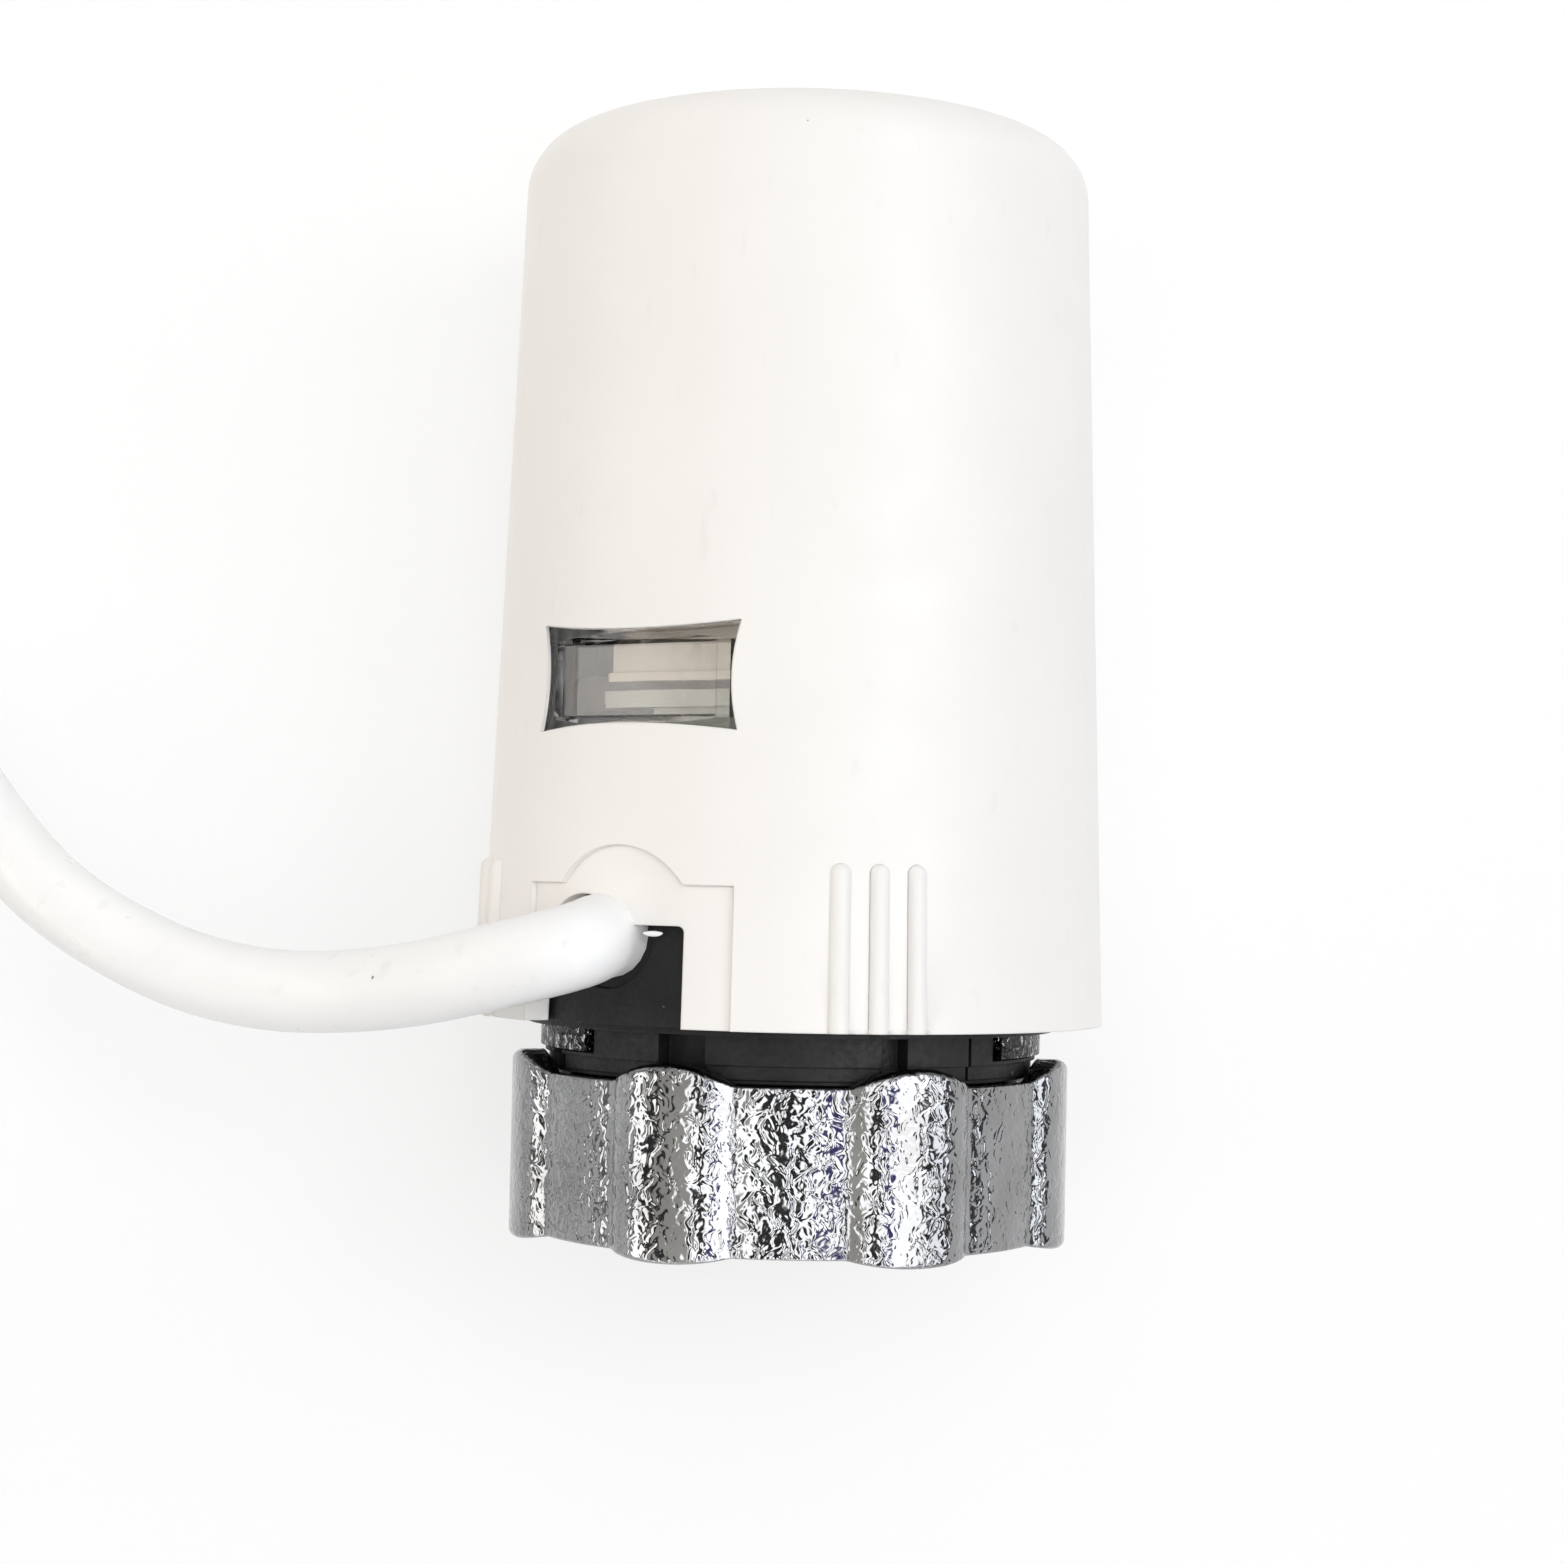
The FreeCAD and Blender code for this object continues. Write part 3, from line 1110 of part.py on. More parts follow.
lead, lead_length = cord_lead()
keep_table("cord_lead", lead)
edges, end, heading = coil_path()
spare = CORD_LENGTH - lead_length - sum(e.Length for e in edges)
tail_end, tail_aim = add_tail(edges, end, heading, spare)
coil_line = Part.Wire(edges)
coil_start = edges[0].Vertexes[0].Point
coil = tube(coil_line, CORD_D, coil_start, coil_frame()[2], "cord_coil")
print("lead %.1f coil %.1f tail in it %.1f whole %.1f" % (lead_length, coil_line.Length, spare,
                                                        lead_length + coil_line.Length))
print("least gap of the coil to itself %.2f" % least_gap(edges, CORD_D))
keep_table("cord_coil", coil)
keep_table("cable_tie", cable_tie())
keep_table("end_core_brown", bare_core(tail_end, tail_aim, -1, "end_core_brown"))
keep_table("end_core_blue", bare_core(tail_end, tail_aim, 1, "end_core_blue"))
keep_table("end_ferrules", end_ferrules(tail_end, tail_aim))
keep("inner_core_brown", inner_core(-1, "inner_core_brown"))
keep("inner_core_blue", inner_core(1, "inner_core_blue"))
keep("crimp_sleeves", crimp_sleeves())
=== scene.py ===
import math

import bmesh
import bpy
from mathutils import Matrix, Vector

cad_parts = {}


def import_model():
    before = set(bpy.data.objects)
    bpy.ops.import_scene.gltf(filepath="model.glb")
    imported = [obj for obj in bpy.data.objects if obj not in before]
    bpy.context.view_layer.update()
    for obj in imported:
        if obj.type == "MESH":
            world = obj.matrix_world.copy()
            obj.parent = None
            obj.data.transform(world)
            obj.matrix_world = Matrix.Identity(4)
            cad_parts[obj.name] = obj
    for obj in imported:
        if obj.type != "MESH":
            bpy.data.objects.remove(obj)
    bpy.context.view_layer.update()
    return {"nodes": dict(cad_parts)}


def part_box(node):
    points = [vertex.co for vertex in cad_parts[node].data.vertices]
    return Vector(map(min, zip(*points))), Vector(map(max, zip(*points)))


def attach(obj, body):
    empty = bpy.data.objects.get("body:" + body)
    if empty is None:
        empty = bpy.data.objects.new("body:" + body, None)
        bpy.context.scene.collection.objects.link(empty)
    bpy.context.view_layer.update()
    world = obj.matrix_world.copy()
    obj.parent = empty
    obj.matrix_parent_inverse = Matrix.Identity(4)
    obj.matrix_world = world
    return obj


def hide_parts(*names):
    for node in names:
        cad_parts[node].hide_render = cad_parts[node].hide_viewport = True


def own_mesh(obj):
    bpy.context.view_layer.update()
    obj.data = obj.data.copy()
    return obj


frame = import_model()
nodes = frame["nodes"]

MM = 0.001

# Casing: heights run along the actuator's axis, from where the nut's thread starts
CASE_FOOT_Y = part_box("outer_casing")[0].y
CASE_TOP_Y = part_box("outer_casing")[1].y
CASE_FOOT_R = 20 * MM
CASE_TOP_R = 18.1 * MM
CASE_CROWN = 0.35 * MM

# Box right of the window in which the casing's material uses the cone's own normals
CONE_LOW = (2 * MM, CASE_FOOT_Y + 0.25 * MM, 0)
CONE_HIGH = (17 * MM, CASE_FOOT_Y + 20 * MM, 1)
CONE_SLACK = 0.08 * MM

# Floor: its glow is the share of plain white that the camera, glass and chrome see in it
FLOOR_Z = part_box("outer_casing")[0].z
FLOOR_SIZE = 4.0
FLOOR_GLOW = 0.65

# Camera, from a fit to the photograph's edges
CAMERA_AT = Vector((-2.67, 20.94, 185.7)) * MM
CAMERA_PITCH = 0.0341
CAMERA_YAW = 0.00957
CAMERA_ROLL = 0.02145
FOCAL_PX = 2866.0
IMAGE_PX = 1564.0
SENSOR_MM = 36.0
CAMERA_NEAR = 0.01

# Union nut: heights are from the nut's mouth, and its lobes arch up and down
NUT_MOUTH_Y = -0.9 * MM
NUT_HEIGHT = 9.6 * MM
NUT_ROOT_R = 16.75 * MM
NUT_LOBES = 7
NUT_LOBE_TURN = math.radians(25.5)
NUT_LOBE_HALF = math.radians(13.9)
NUT_LOBE_PROUD = 1.15 * MM
NUT_LOBE_RISE = 1.25 * MM
NUT_LOBE_DROP = 0.45 * MM
NUT_FOOT_DROP = 0.5 * MM
NUT_WEB_TOP = 9.5 * MM
NUT_WEB_LOW = 8.45 * MM
NUT_WEB_R = 12.95 * MM
NUT_CUP_R = 16.05 * MM
NUT_RELIEF_R = 14.7 * MM
NUT_SEGMENTS = 364

# Rounding of the nut's edges at its recesses, and how much more its lobes have
NUT_EDGE = 0.15 * MM
NUT_LOBE_FOOT = 0.2 * MM
NUT_LOBE_DOME_IN = 0.6 * MM
NUT_LOBE_DOME_DOWN = 0.45 * MM
NUT_FOOT_ROWS = 6
NUT_WALL_ROWS = 9
NUT_DOME_ROWS = 8

# Thread: its lead is a chamfer that starts at a share of the foot's rounding, its grooves are V-shaped
THREAD_MINOR_R = 14.19 * MM
THREAD_DEPTH = 0.72 * MM
THREAD_PITCH = 1.5 * MM
THREAD_START = 0.9 * MM
THREAD_END = 6.8 * MM
THREAD_LEAD = 0.9 * MM
THREAD_LEAD_EDGE = 0.2
THREAD_RELIEF = 0.3 * MM
THREAD_STEEP = 2.6
THREAD_ROWS = 40
THREAD_FADE_ROWS = 6

# Closing spring: SPRING_CLOSE is how far its end turns close up, SPRING_AHEAD finds the wire's direction
SPRING_R = 9.3 * MM
SPRING_WIRE_R = 0.75 * MM
SPRING_TURNS = 4
SPRING_CLOSE = 0.75
SPRING_STEPS = 288
SPRING_SIDES = 20
SPRING_AHEAD = 0.001

# Nub at the right of the cable: place, half sizes, and waves as height, frequency and start
NUB_PLACE = Vector((-8.45, 17.62, 17.05)) * MM
NUB_HALF = (0.62 * MM, 0.16 * MM, 0.2 * MM)
NUB_WAVES = ((0.07, 3.1, 1.3), (0.05, 4.3, 0.0), (0.04, 5.2, 0.0))

# Cable: where it starts in the base and leaves the casing, then its route to the coil
CORD_D = 5.1 * MM
CORD_ANGLE = math.radians(-39.2)
CORD_START_R = 12.4 * MM
CORD_EXIT_R = 18.0 * MM
CORD_EXIT_Y = CASE_FOOT_Y + 5.5 * MM
LEAD_ROUTE = [
    (-12.4, 16.9, 18.4),
    (-17.6, 15.5, 16.6),
    (-22.6, 14.2, 12.7),
    (-27.4, 13.45, 9.0),
    (-33.2, 13.3, 5.9),
    (-39.7, 14.6, 3.0),
    (-47.0, 18.2, 0.4),
    (-51.8, 22.2, -2.8),
    (-57.0, 28.2, -6.6),
    (-66.0, 33.2, -10.1),
]

# Coil: half turns that spiral in on the upper layer and out on the lower one
COIL_CENTRE = Vector((-99.0, 10.3, 0)) * MM
COIL_TURN = math.radians(60.0)
COIL_OUT_R = 36.2 * MM
COIL_STEP = 5.6 * MM
COIL_HALVES = 4
COIL_HALF_POINTS = 8
COIL_RUN_IN = 11.2 * MM
COIL_LOW_Z = FLOOR_Z + CORD_D / 2 + 0.68 * MM
TAIL_ARC = 22.0 * MM
TAIL_POINTS = 2

# Lamps: name, angle about the axis, tilt along it, two sizes, watts, colour, and whether gloss shows it
LAMP_AIM = Vector((0, 0.03, 0))
LAMP_DISTANCE = 1.0
LAMPS = [
    ("key", 6, 8, 0.8, 0.8, 3.75, (0.98, 0.99, 1.0), False),
    ("strip", 38, 10, 0.34, 0.7, 1.6, (0.985, 0.99, 1.0), True),
    ("left", -74, 6, 0.75, 0.67, 2.0, (1.0, 0.86, 0.7), False),
    ("front", -34, -8, 0.6, 0.5, 0.8, (1.0, 0.96, 0.9), False),
]

# Studio round the actuator's axis: angle from straight up, positive towards +X, and what is there
DARK = (0.02, 0.02, 0.02)
WHITE = (1.0, 1.0, 1.0)
WARM_WHITE = (1.0, 0.98, 0.95)
COOL_WHITE = (0.874, 0.902, 0.95)
STUDIO = [
    (-86, (0.1, 0.1, 0.1)),
    (-83, DARK),
    (-82, DARK),
    (-80, WARM_WHITE),
    (-67, WARM_WHITE),
    (-65, DARK),
    (-55, DARK),
    (-52, (0.24, 0.233, 0.216)),
    (-26, (0.26, 0.252, 0.234)),
    (-23, WHITE),
    (-13, WHITE),
    (-11, DARK),
    (3, DARK),
    (5, WHITE),
    (14, WHITE),
    (16, DARK),
    (18, (0.03, 0.03, 0.102)),
    (24, (0.04, 0.04, 0.136)),
    (26, WHITE),
    (54, WHITE),
    (56, DARK),
    (63, DARK),
    (65, COOL_WHITE),
    (75, COOL_WHITE),
    (77, DARK),
    (84, (0.028, 0.028, 0.03)),
    (92, (0.055, 0.057, 0.06)),
]

# How many times brighter the studio is to glossy rays than to the others
GLOSS_LIGHT = 3.3


# Node helpers

# Places of the mix node's colour sockets, which share their names with its other sockets
MIX_A = 6
MIX_B = 7
MIX_RESULT = 2


class Tree:
    """The node tree of a material or world, with short ways to add to it."""

    def __init__(self, owner):
        owner.use_nodes = True
        self.tree = owner.node_tree

    def node(self, kind, **values):
        """Adds a node, with each value in its input or setting of that name."""
        n = self.tree.nodes.new(kind)
        for key, value in values.items():
            if key in n.inputs:
                n.inputs[key].default_value = value
            else:
                setattr(n, key, value)
        return n

    def link(self, a, b):
        self.tree.links.new(a, b)

    def ramp(self, value, low, high, out_low=0.0, out_high=1.0):
        """Maps the range from low to high on to the range from out_low to out_high."""
        n = self.node("ShaderNodeMapRange")
        n.inputs["From Min"].default_value = low
        n.inputs["From Max"].default_value = high
        n.inputs["To Min"].default_value = out_low
        n.inputs["To Max"].default_value = out_high
        self.link(value, n.inputs["Value"])
        return n.outputs["Result"]

    def math(self, operation, *values):
        """Result of the operation on numbers or outputs."""
        n = self.node("ShaderNodeMath", operation=operation)
        for socket, value in zip(n.inputs, values):
            if isinstance(value, (int, float)):
                socket.default_value = value
            else:
                self.link(value, socket)
        return n.outputs[0]

    def mix(self, factor, a, b):
        """Colour that goes from a to b with the factor, where a and b are colours or outputs."""
        n = self.node("ShaderNodeMix")
        n.data_type = "RGBA"
        self.link(factor, n.inputs["Factor"])
        for socket, value in ((n.inputs[MIX_A], a), (n.inputs[MIX_B], b)):
            if isinstance(value, tuple):
                socket.default_value = (*value, 1.0)
            else:
                self.link(value, socket)
        return n.outputs[MIX_RESULT]


class Shade(Tree):
    """A material under construction: its main shader and the object's own coordinates."""

    def __init__(self, name, colour, rough, metal=0.0):
        self.mat = bpy.data.materials.new(name)
        super().__init__(self.mat)
        self.bsdf = self.tree.nodes["Principled BSDF"]
        self.bsdf.inputs["Base Color"].default_value = (*colour, 1.0)
        self.bsdf.inputs["Roughness"].default_value = rough
        self.bsdf.inputs["Metallic"].default_value = metal
        self.place = self.node("ShaderNodeTexCoord").outputs["Object"]
        self.normal = None

    def stretched(self, scale):
        """The object's own coordinates, times a scale for each axis."""
        n = self.node("ShaderNodeMapping", Scale=scale)
        self.link(self.place, n.inputs["Vector"])
        return n.outputs["Vector"]

    def noise(self, size, detail, rough=0.5, distort=0.0, place=None):
        n = self.node("ShaderNodeTexNoise", Scale=1.0 / size, Detail=detail, Roughness=rough,
                      Distortion=distort)
        self.link(place or self.place, n.inputs["Vector"])
        return n.outputs["Fac"]

    def spread(self, noise, low=0.0, high=1.0):
        """Stretches the middle of a noise to the range from low to high."""
        return self.ramp(noise, 0.3, 0.7, low, high)

    def specks(self, size, reach, some, cut):
        """Dots in cells of a size, kept where the noise some is above the cut."""
        cells = self.node("ShaderNodeTexVoronoi", Scale=1.0 / size)
        self.link(self.place, cells.inputs["Vector"])
        dots = self.math("LESS_THAN", cells.outputs["Distance"], reach)
        return self.math("MULTIPLY", dots, self.math("GREATER_THAN", some, cut))

    def paint(self, colour):
        self.link(colour, self.bsdf.inputs["Base Color"])

    def patches(self, noise, share, colour):
        """Paints the colour, with patches that go down to a share of it."""
        self.paint(self.mix(noise, tuple(c * share for c in colour), colour))

    def gloss(self, value):
        self.link(value, self.bsdf.inputs["Roughness"])

    def use_normal(self, normal):
        self.normal = normal
        self.link(normal, self.bsdf.inputs["Normal"])

    def bump(self, height, depth, strength=1.0):
        """Adds relief of a depth on top of the normals so far."""
        n = self.node("ShaderNodeBump", Strength=strength, Distance=depth)
        self.link(height, n.inputs["Height"])
        if self.normal:
            self.link(self.normal, n.inputs["Normal"])
        self.use_normal(n.outputs["Normal"])

    def soft_edges(self, radius):
        n = self.node("ShaderNodeBevel", samples=6, Radius=radius)
        self.use_normal(n.outputs["Normal"])

    def cone_normals(self, foot_y, foot_r, top_y, top_r):
        """Takes the normals from a cone about the Y axis, inside the box CONE_LOW to CONE_HIGH."""
        place = self.node("ShaderNodeNewGeometry").outputs["Position"]
        split = self.node("ShaderNodeSeparateXYZ")
        self.link(place, split.inputs[0])
        x, y, z = split.outputs
        squares = self.math("ADD", self.math("MULTIPLY", x, x), self.math("MULTIPLY", z, z))
        radius = self.math("SQRT", squares)
        lean = (foot_r - top_r) / (top_y - foot_y)
        wall = self.math("SUBTRACT", foot_r + lean * foot_y, self.math("MULTIPLY", y, lean))
        off = self.math("ABSOLUTE", self.math("SUBTRACT", radius, wall))
        inside = self.math("LESS_THAN", off, CONE_SLACK)
        for value, low, high in zip((x, y, z), CONE_LOW, CONE_HIGH):
            inside = self.math("MULTIPLY", inside, self.math("GREATER_THAN", value, low))
            inside = self.math("MULTIPLY", inside, self.math("LESS_THAN", value, high))
        join = self.node("ShaderNodeCombineXYZ")
        for value, socket in zip((x, self.math("MULTIPLY", radius, lean), z), join.inputs):
            self.link(value, socket)
        unit = self.node("ShaderNodeVectorMath", operation="NORMALIZE")
        self.link(join.outputs[0], unit.inputs[0])
        both = self.node("ShaderNodeMix")
        both.data_type = "VECTOR"
        self.link(inside, both.inputs["Factor"])
        ends = [i for i in both.inputs if i.type == "VECTOR" and i.name in ("A", "B")]
        self.link(self.normal, ends[0])
        self.link(unit.outputs[0], ends[1])
        self.use_normal([o for o in both.outputs if o.type == "VECTOR"][0])

    def blend(self, share, shader):
        """Mixes a share of another shader into the surface."""
        both = self.node("ShaderNodeMixShader")
        self.link(share, both.inputs[0])
        self.link(self.bsdf.outputs[0], both.inputs[1])
        self.link(shader.outputs[0], both.inputs[2])
        self.link(both.outputs[0], self.tree.nodes["Material Output"].inputs["Surface"])


# Materials

def casing_white():
    s = Shade("casing_white", (0.88, 0.865, 0.84), 0.42)
    s.soft_edges(0.18 * MM)
    s.cone_normals(CASE_FOOT_Y, CASE_FOOT_R, CASE_TOP_Y - CASE_CROWN, CASE_TOP_R)
    cloud = s.ramp(s.noise(14 * MM, 3), 0.35, 0.65)
    tone = s.mix(cloud, (0.885, 0.87, 0.845), (0.865, 0.848, 0.822))
    specks = s.specks(5.5 * MM, 0.021, s.noise(9 * MM, 1), 0.55)
    tone = s.mix(specks, tone, (0.22, 0.2, 0.19))
    rub = s.ramp(s.noise(1.1 * MM, 4, place=s.stretched((1, 0.35, 1))), 0.66, 0.74, 0.0, 0.10)
    s.paint(s.mix(rub, tone, (0.62, 0.6, 0.58)))
    s.gloss(s.spread(s.noise(3 * MM, 4), 0.36, 0.5))
    s.bump(s.noise(0.5 * MM, 3), 0.012 * MM, 0.6)
    s.bump(s.noise(6 * MM, 2), 0.05 * MM, 0.35)
    return s.mat


def cord_white():
    s = Shade("cord_white", (0.9, 0.9, 0.895), 0.34)
    cloud = s.ramp(s.noise(9 * MM, 4), 0.35, 0.7)
    tone = s.mix(cloud, (0.95, 0.952, 0.95), (0.92, 0.924, 0.926))
    specks = s.specks(4.2 * MM, 0.03, s.noise(7 * MM, 1), 0.52)
    tone = s.mix(specks, tone, (0.3, 0.29, 0.28))
    grime = s.ramp(s.noise(1.6 * MM, 5), 0.62, 0.78, 0.0, 0.22)
    s.paint(s.mix(grime, tone, (0.6, 0.59, 0.57)))
    s.gloss(s.spread(s.noise(2.5 * MM, 4), 0.27, 0.46))
    s.bump(s.noise(1.4 * MM, 4), 0.03 * MM, 0.5)
    return s.mat


def nut_chrome():
    s = Shade("nut_chrome", (0.39, 0.392, 0.4), 0.07, metal=1.0)
    s.soft_edges(0.2 * MM)
    dull = s.ramp(s.noise(5 * MM, 3), 0.35, 0.65)
    s.paint(s.mix(dull, (0.27, 0.27, 0.273), (0.33, 0.333, 0.34)))
    s.gloss(s.spread(s.noise(0.9 * MM, 3), 0.05, 0.13))
    s.bump(s.noise(0.85 * MM, 1.0, distort=1.2), 0.12 * MM)
    return s.mat


def base_black():
    s = Shade("base_black", (0.012, 0.012, 0.013), 0.5)
    s.bsdf.inputs["Specular IOR Level"].default_value = 0.25
    s.soft_edges(0.12 * MM)
    grain = s.noise(0.35 * MM, 4)
    dust = s.specks(1.15 * MM, 0.09, s.noise(1.6 * MM, 2), 0.54)
    cloud = s.ramp(s.noise(4 * MM, 3), 0.35, 0.7)
    tone = s.mix(cloud, (0.008, 0.008, 0.009), (0.018, 0.0175, 0.0185))
    s.paint(s.mix(dust, tone, (0.14, 0.14, 0.145)))
    s.gloss(s.spread(grain, 0.38, 0.62))
    s.bump(grain, 0.05 * MM, 0.7)
    return s.mat


def rough_steel(name, colour, size, depth):
    """Pitted steel: mostly dark, with bright bits where the pits' noise is high."""
    s = Shade(name, colour, 0.25, metal=1.0)
    s.soft_edges(0.06 * MM)
    pits = s.noise(size, 3, rough=0.6, distort=0.8)
    s.patches(s.ramp(pits, 0.56, 0.63), 0.03, colour)
    s.gloss(s.spread(pits, 0.4, 0.15))
    s.bump(pits, depth)
    return s.mat


def turned_metal(name, colour, rough):
    """Metal with fine rings round the actuator's axis."""
    s = Shade(name, colour, rough, metal=1.0)
    s.soft_edges(0.08 * MM)
    rings = s.noise(0.25 * MM, 3, place=s.stretched((0.05, 1, 0.05)))
    s.patches(s.spread(s.noise(2.5 * MM, 4)), 0.86, colour)
    s.gloss(s.spread(rings, rough * 0.7, rough * 1.4))
    s.bump(rings, 0.02 * MM, 0.6)
    return s.mat


def moulded(name, colour, rough=0.5, grain=0.4 * MM, depth=0.02 * MM):
    """Plastic or rubber with a fine grain."""
    s = Shade(name, colour, rough)
    s.soft_edges(0.08 * MM)
    s.patches(s.spread(s.noise(3 * MM, 4)), 0.9, colour)
    fine = s.noise(grain, 4)
    s.gloss(s.spread(fine, rough * 0.8, rough * 1.2))
    s.bump(fine, depth, 0.6)
    return s.mat


def lens_clear():
    s = Shade("lens_clear", (0.93, 0.925, 0.92), 0.04)
    s.bsdf.inputs["IOR"].default_value = 1.49
    s.bsdf.inputs["Transmission Weight"].default_value = 1.0
    s.gloss(s.ramp(s.noise(1.2 * MM, 4), 0.35, 0.75, 0.02, 0.12))
    s.bump(s.noise(2.2 * MM, 2), 0.03 * MM, 0.5)
    path = s.node("ShaderNodeLightPath")
    clear = s.node("ShaderNodeBsdfTransparent", Color=(0.86, 0.855, 0.85, 1))
    s.blend(path.outputs["Is Shadow Ray"], clear)
    return s.mat


def ceramic():
    s = Shade("heater_ceramic", (0.25, 0.26, 0.28), 0.35)
    faces = s.ramp(s.noise(0.8 * MM, 4), 0.42, 0.58)
    s.paint(s.mix(faces, (0.22, 0.23, 0.25), (0.42, 0.42, 0.43)))
    s.gloss(s.spread(s.noise(0.5 * MM, 3), 0.25, 0.55))
    s.bump(s.noise(0.3 * MM, 4), 0.03 * MM, 0.7)
    return s.mat


def wax():
    s = Shade("wax", (0.84, 0.78, 0.58), 0.42)
    s.bsdf.inputs["Subsurface Weight"].default_value = 0.3
    s.paint(s.mix(s.spread(s.noise(1.8 * MM, 4)), (0.8, 0.72, 0.5), (0.87, 0.82, 0.64)))
    s.bump(s.noise(1.0 * MM, 3), 0.06 * MM, 0.6)
    return s.mat


def floor_white():
    s = Shade("floor_white", (0.97, 0.97, 0.97), 0.7)
    s.bsdf.inputs["Specular IOR Level"].default_value = 0.1
    path = s.node("ShaderNodeLightPath")
    seen = s.math("MAXIMUM", path.outputs["Is Camera Ray"], path.outputs["Is Transmission Ray"])
    seen = s.math("MAXIMUM", seen, path.outputs["Is Glossy Ray"])
    glow = s.node("ShaderNodeEmission", Strength=1.0, Color=(1, 1, 1, 1))
    s.blend(s.math("MULTIPLY", seen, FLOOR_GLOW), glow)
    return s.mat


def dress():
    """Gives every CAD node that shows its material."""
    steel = turned_metal("spring_steel", (0.55, 0.55, 0.57), 0.3)
    zinc = turned_metal("zinc_steel", (0.66, 0.67, 0.7), 0.34)
    brass = turned_metal("brass", (0.78, 0.6, 0.3), 0.26)
    rubber = moulded("rubber_black", (0.022, 0.022, 0.022), 0.65, 0.3 * MM, 0.03 * MM)
    black = base_black()
    grey = moulded("frame_grey", (0.11, 0.094, 0.092))
    brown = moulded("core_brown", (0.24, 0.1, 0.045), 0.38)
    blue = moulded("core_blue", (0.05, 0.2, 0.55), 0.38)
    tin = turned_metal("ferrule_tin", (0.72, 0.72, 0.73), 0.3)
    table = {
        "outer_casing": casing_white(),
        "window_lens": lens_clear(),
        "nut_retaining_ring": steel,
        "nut_slip_washer": black,
        "retaining_clip": rough_steel("clip_steel", (0.62, 0.62, 0.63), 0.5 * MM, 0.35 * MM),
        "base_housing": black,
        "guide_bush": brass,
        "plunger_seal": rubber,
        "plunger": moulded("plunger_black", (0.03, 0.03, 0.032), 0.4),
        "lifting_cage": moulded("cage_grey", (0.3, 0.31, 0.32)),
        # Indicator painted far darker than its cream plastic: painted shade for the inside of the casing
        # behind the window
        "position_indicator": moulded("indicator_cream", (0.35, 0.309, 0.253), 0.5),
        # Band painted far darker than its pale green plastic: painted shade for the inside of the casing
        # behind the window
        "scale_band": moulded("band_pale", (0.24, 0.247, 0.21), 0.35),
        "inner_frame": grey,
        "heater_holder": moulded("holder_brown", (0.2, 0.1, 0.055)),
        "holder_screws": zinc,
        "contact_live": brass,
        "contact_neutral": brass,
        "ptc_heater": ceramic(),
        "wax_cup": brass,
        "wax_charge": wax(),
        "diaphragm": rubber,
        "piston_guide": brass,
        "crimp_ring": zinc,
        "wax_piston": zinc,
        "spring_seat": zinc,
        "cable_gland": black,
        "cable_clamp": grey,
        "clamp_screws": zinc,
        "cable_tie": moulded("tie_natural", (0.8, 0.8, 0.76), 0.4),
        "end_core_brown": brown,
        "end_core_blue": blue,
        "end_ferrules": tin,
        "inner_core_brown": brown,
        "inner_core_blue": blue,
        "crimp_sleeves": tin,
    }
    for name, mat in table.items():
        for slot in nodes[name].material_slots:
            slot.material = mat


# Shapes

def round_axis(angle, radius, y):
    """Point at an angle about the actuator's axis, from the side that faces up."""
    return Vector((radius * math.sin(angle), y, radius * math.cos(angle)))


def piece(name, work, material, body, sharp):
    """Turns the mesh in work into an object that moves with the body, smooth below a sharp angle."""
    bmesh.ops.recalc_face_normals(work, faces=work.faces)
    for face in work.faces:
        face.smooth = True
    mesh = bpy.data.meshes.new(name)
    work.to_mesh(mesh)
    work.free()
    mesh.set_sharp_from_angle(angle=math.radians(sharp))
    mesh.materials.append(material)
    obj = bpy.data.objects.new(name, mesh)
    bpy.context.scene.collection.objects.link(obj)
    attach(obj, body)
    return obj


# Union nut

def lobe_share(angle):
    """How far into a lobe an angle is: 0 at its middle, 1 at its edge and beyond."""
    step = 2 * math.pi / NUT_LOBES
    off = (angle - NUT_LOBE_TURN + step / 2) % step - step / 2
    return min(1.0, abs(off) / NUT_LOBE_HALF)


def nut_outside(angle):
    """Radius and height of the nut's outside at an angle, then the heights of its mouth and top."""
    share = lobe_share(angle)
    proud = 1 - share ** 3
    arch = 1 - share * share
    r = NUT_ROOT_R + NUT_LOBE_PROUD * proud
    foot = -NUT_FOOT_DROP - NUT_LOBE_DROP * arch
    top = NUT_HEIGHT + NUT_LOBE_RISE * arch
    foot_cut = NUT_EDGE + NUT_LOBE_FOOT * proud
    dome_in = NUT_EDGE + NUT_LOBE_DOME_IN * proud
    dome_down = NUT_EDGE + NUT_LOBE_DOME_DOWN * proud
    low = foot + foot_cut
    high = top - dome_down
    out = []
    for i in range(NUT_FOOT_ROWS + 1):
        turn = math.pi / 2 * i / NUT_FOOT_ROWS
        out.append((r - foot_cut * (1 - math.sin(turn)), foot + foot_cut * (1 - math.cos(turn))))
    for i in range(1, NUT_WALL_ROWS):
        out.append((r, low + (high - low) * i / NUT_WALL_ROWS))
    for i in range(NUT_DOME_ROWS + 1):
        turn = math.pi / 2 * i / NUT_DOME_ROWS
        out.append((r - dome_in * (1 - math.cos(turn)), high + dome_down * math.sin(turn)))
    return out, foot + foot_cut * THREAD_LEAD_EDGE, top


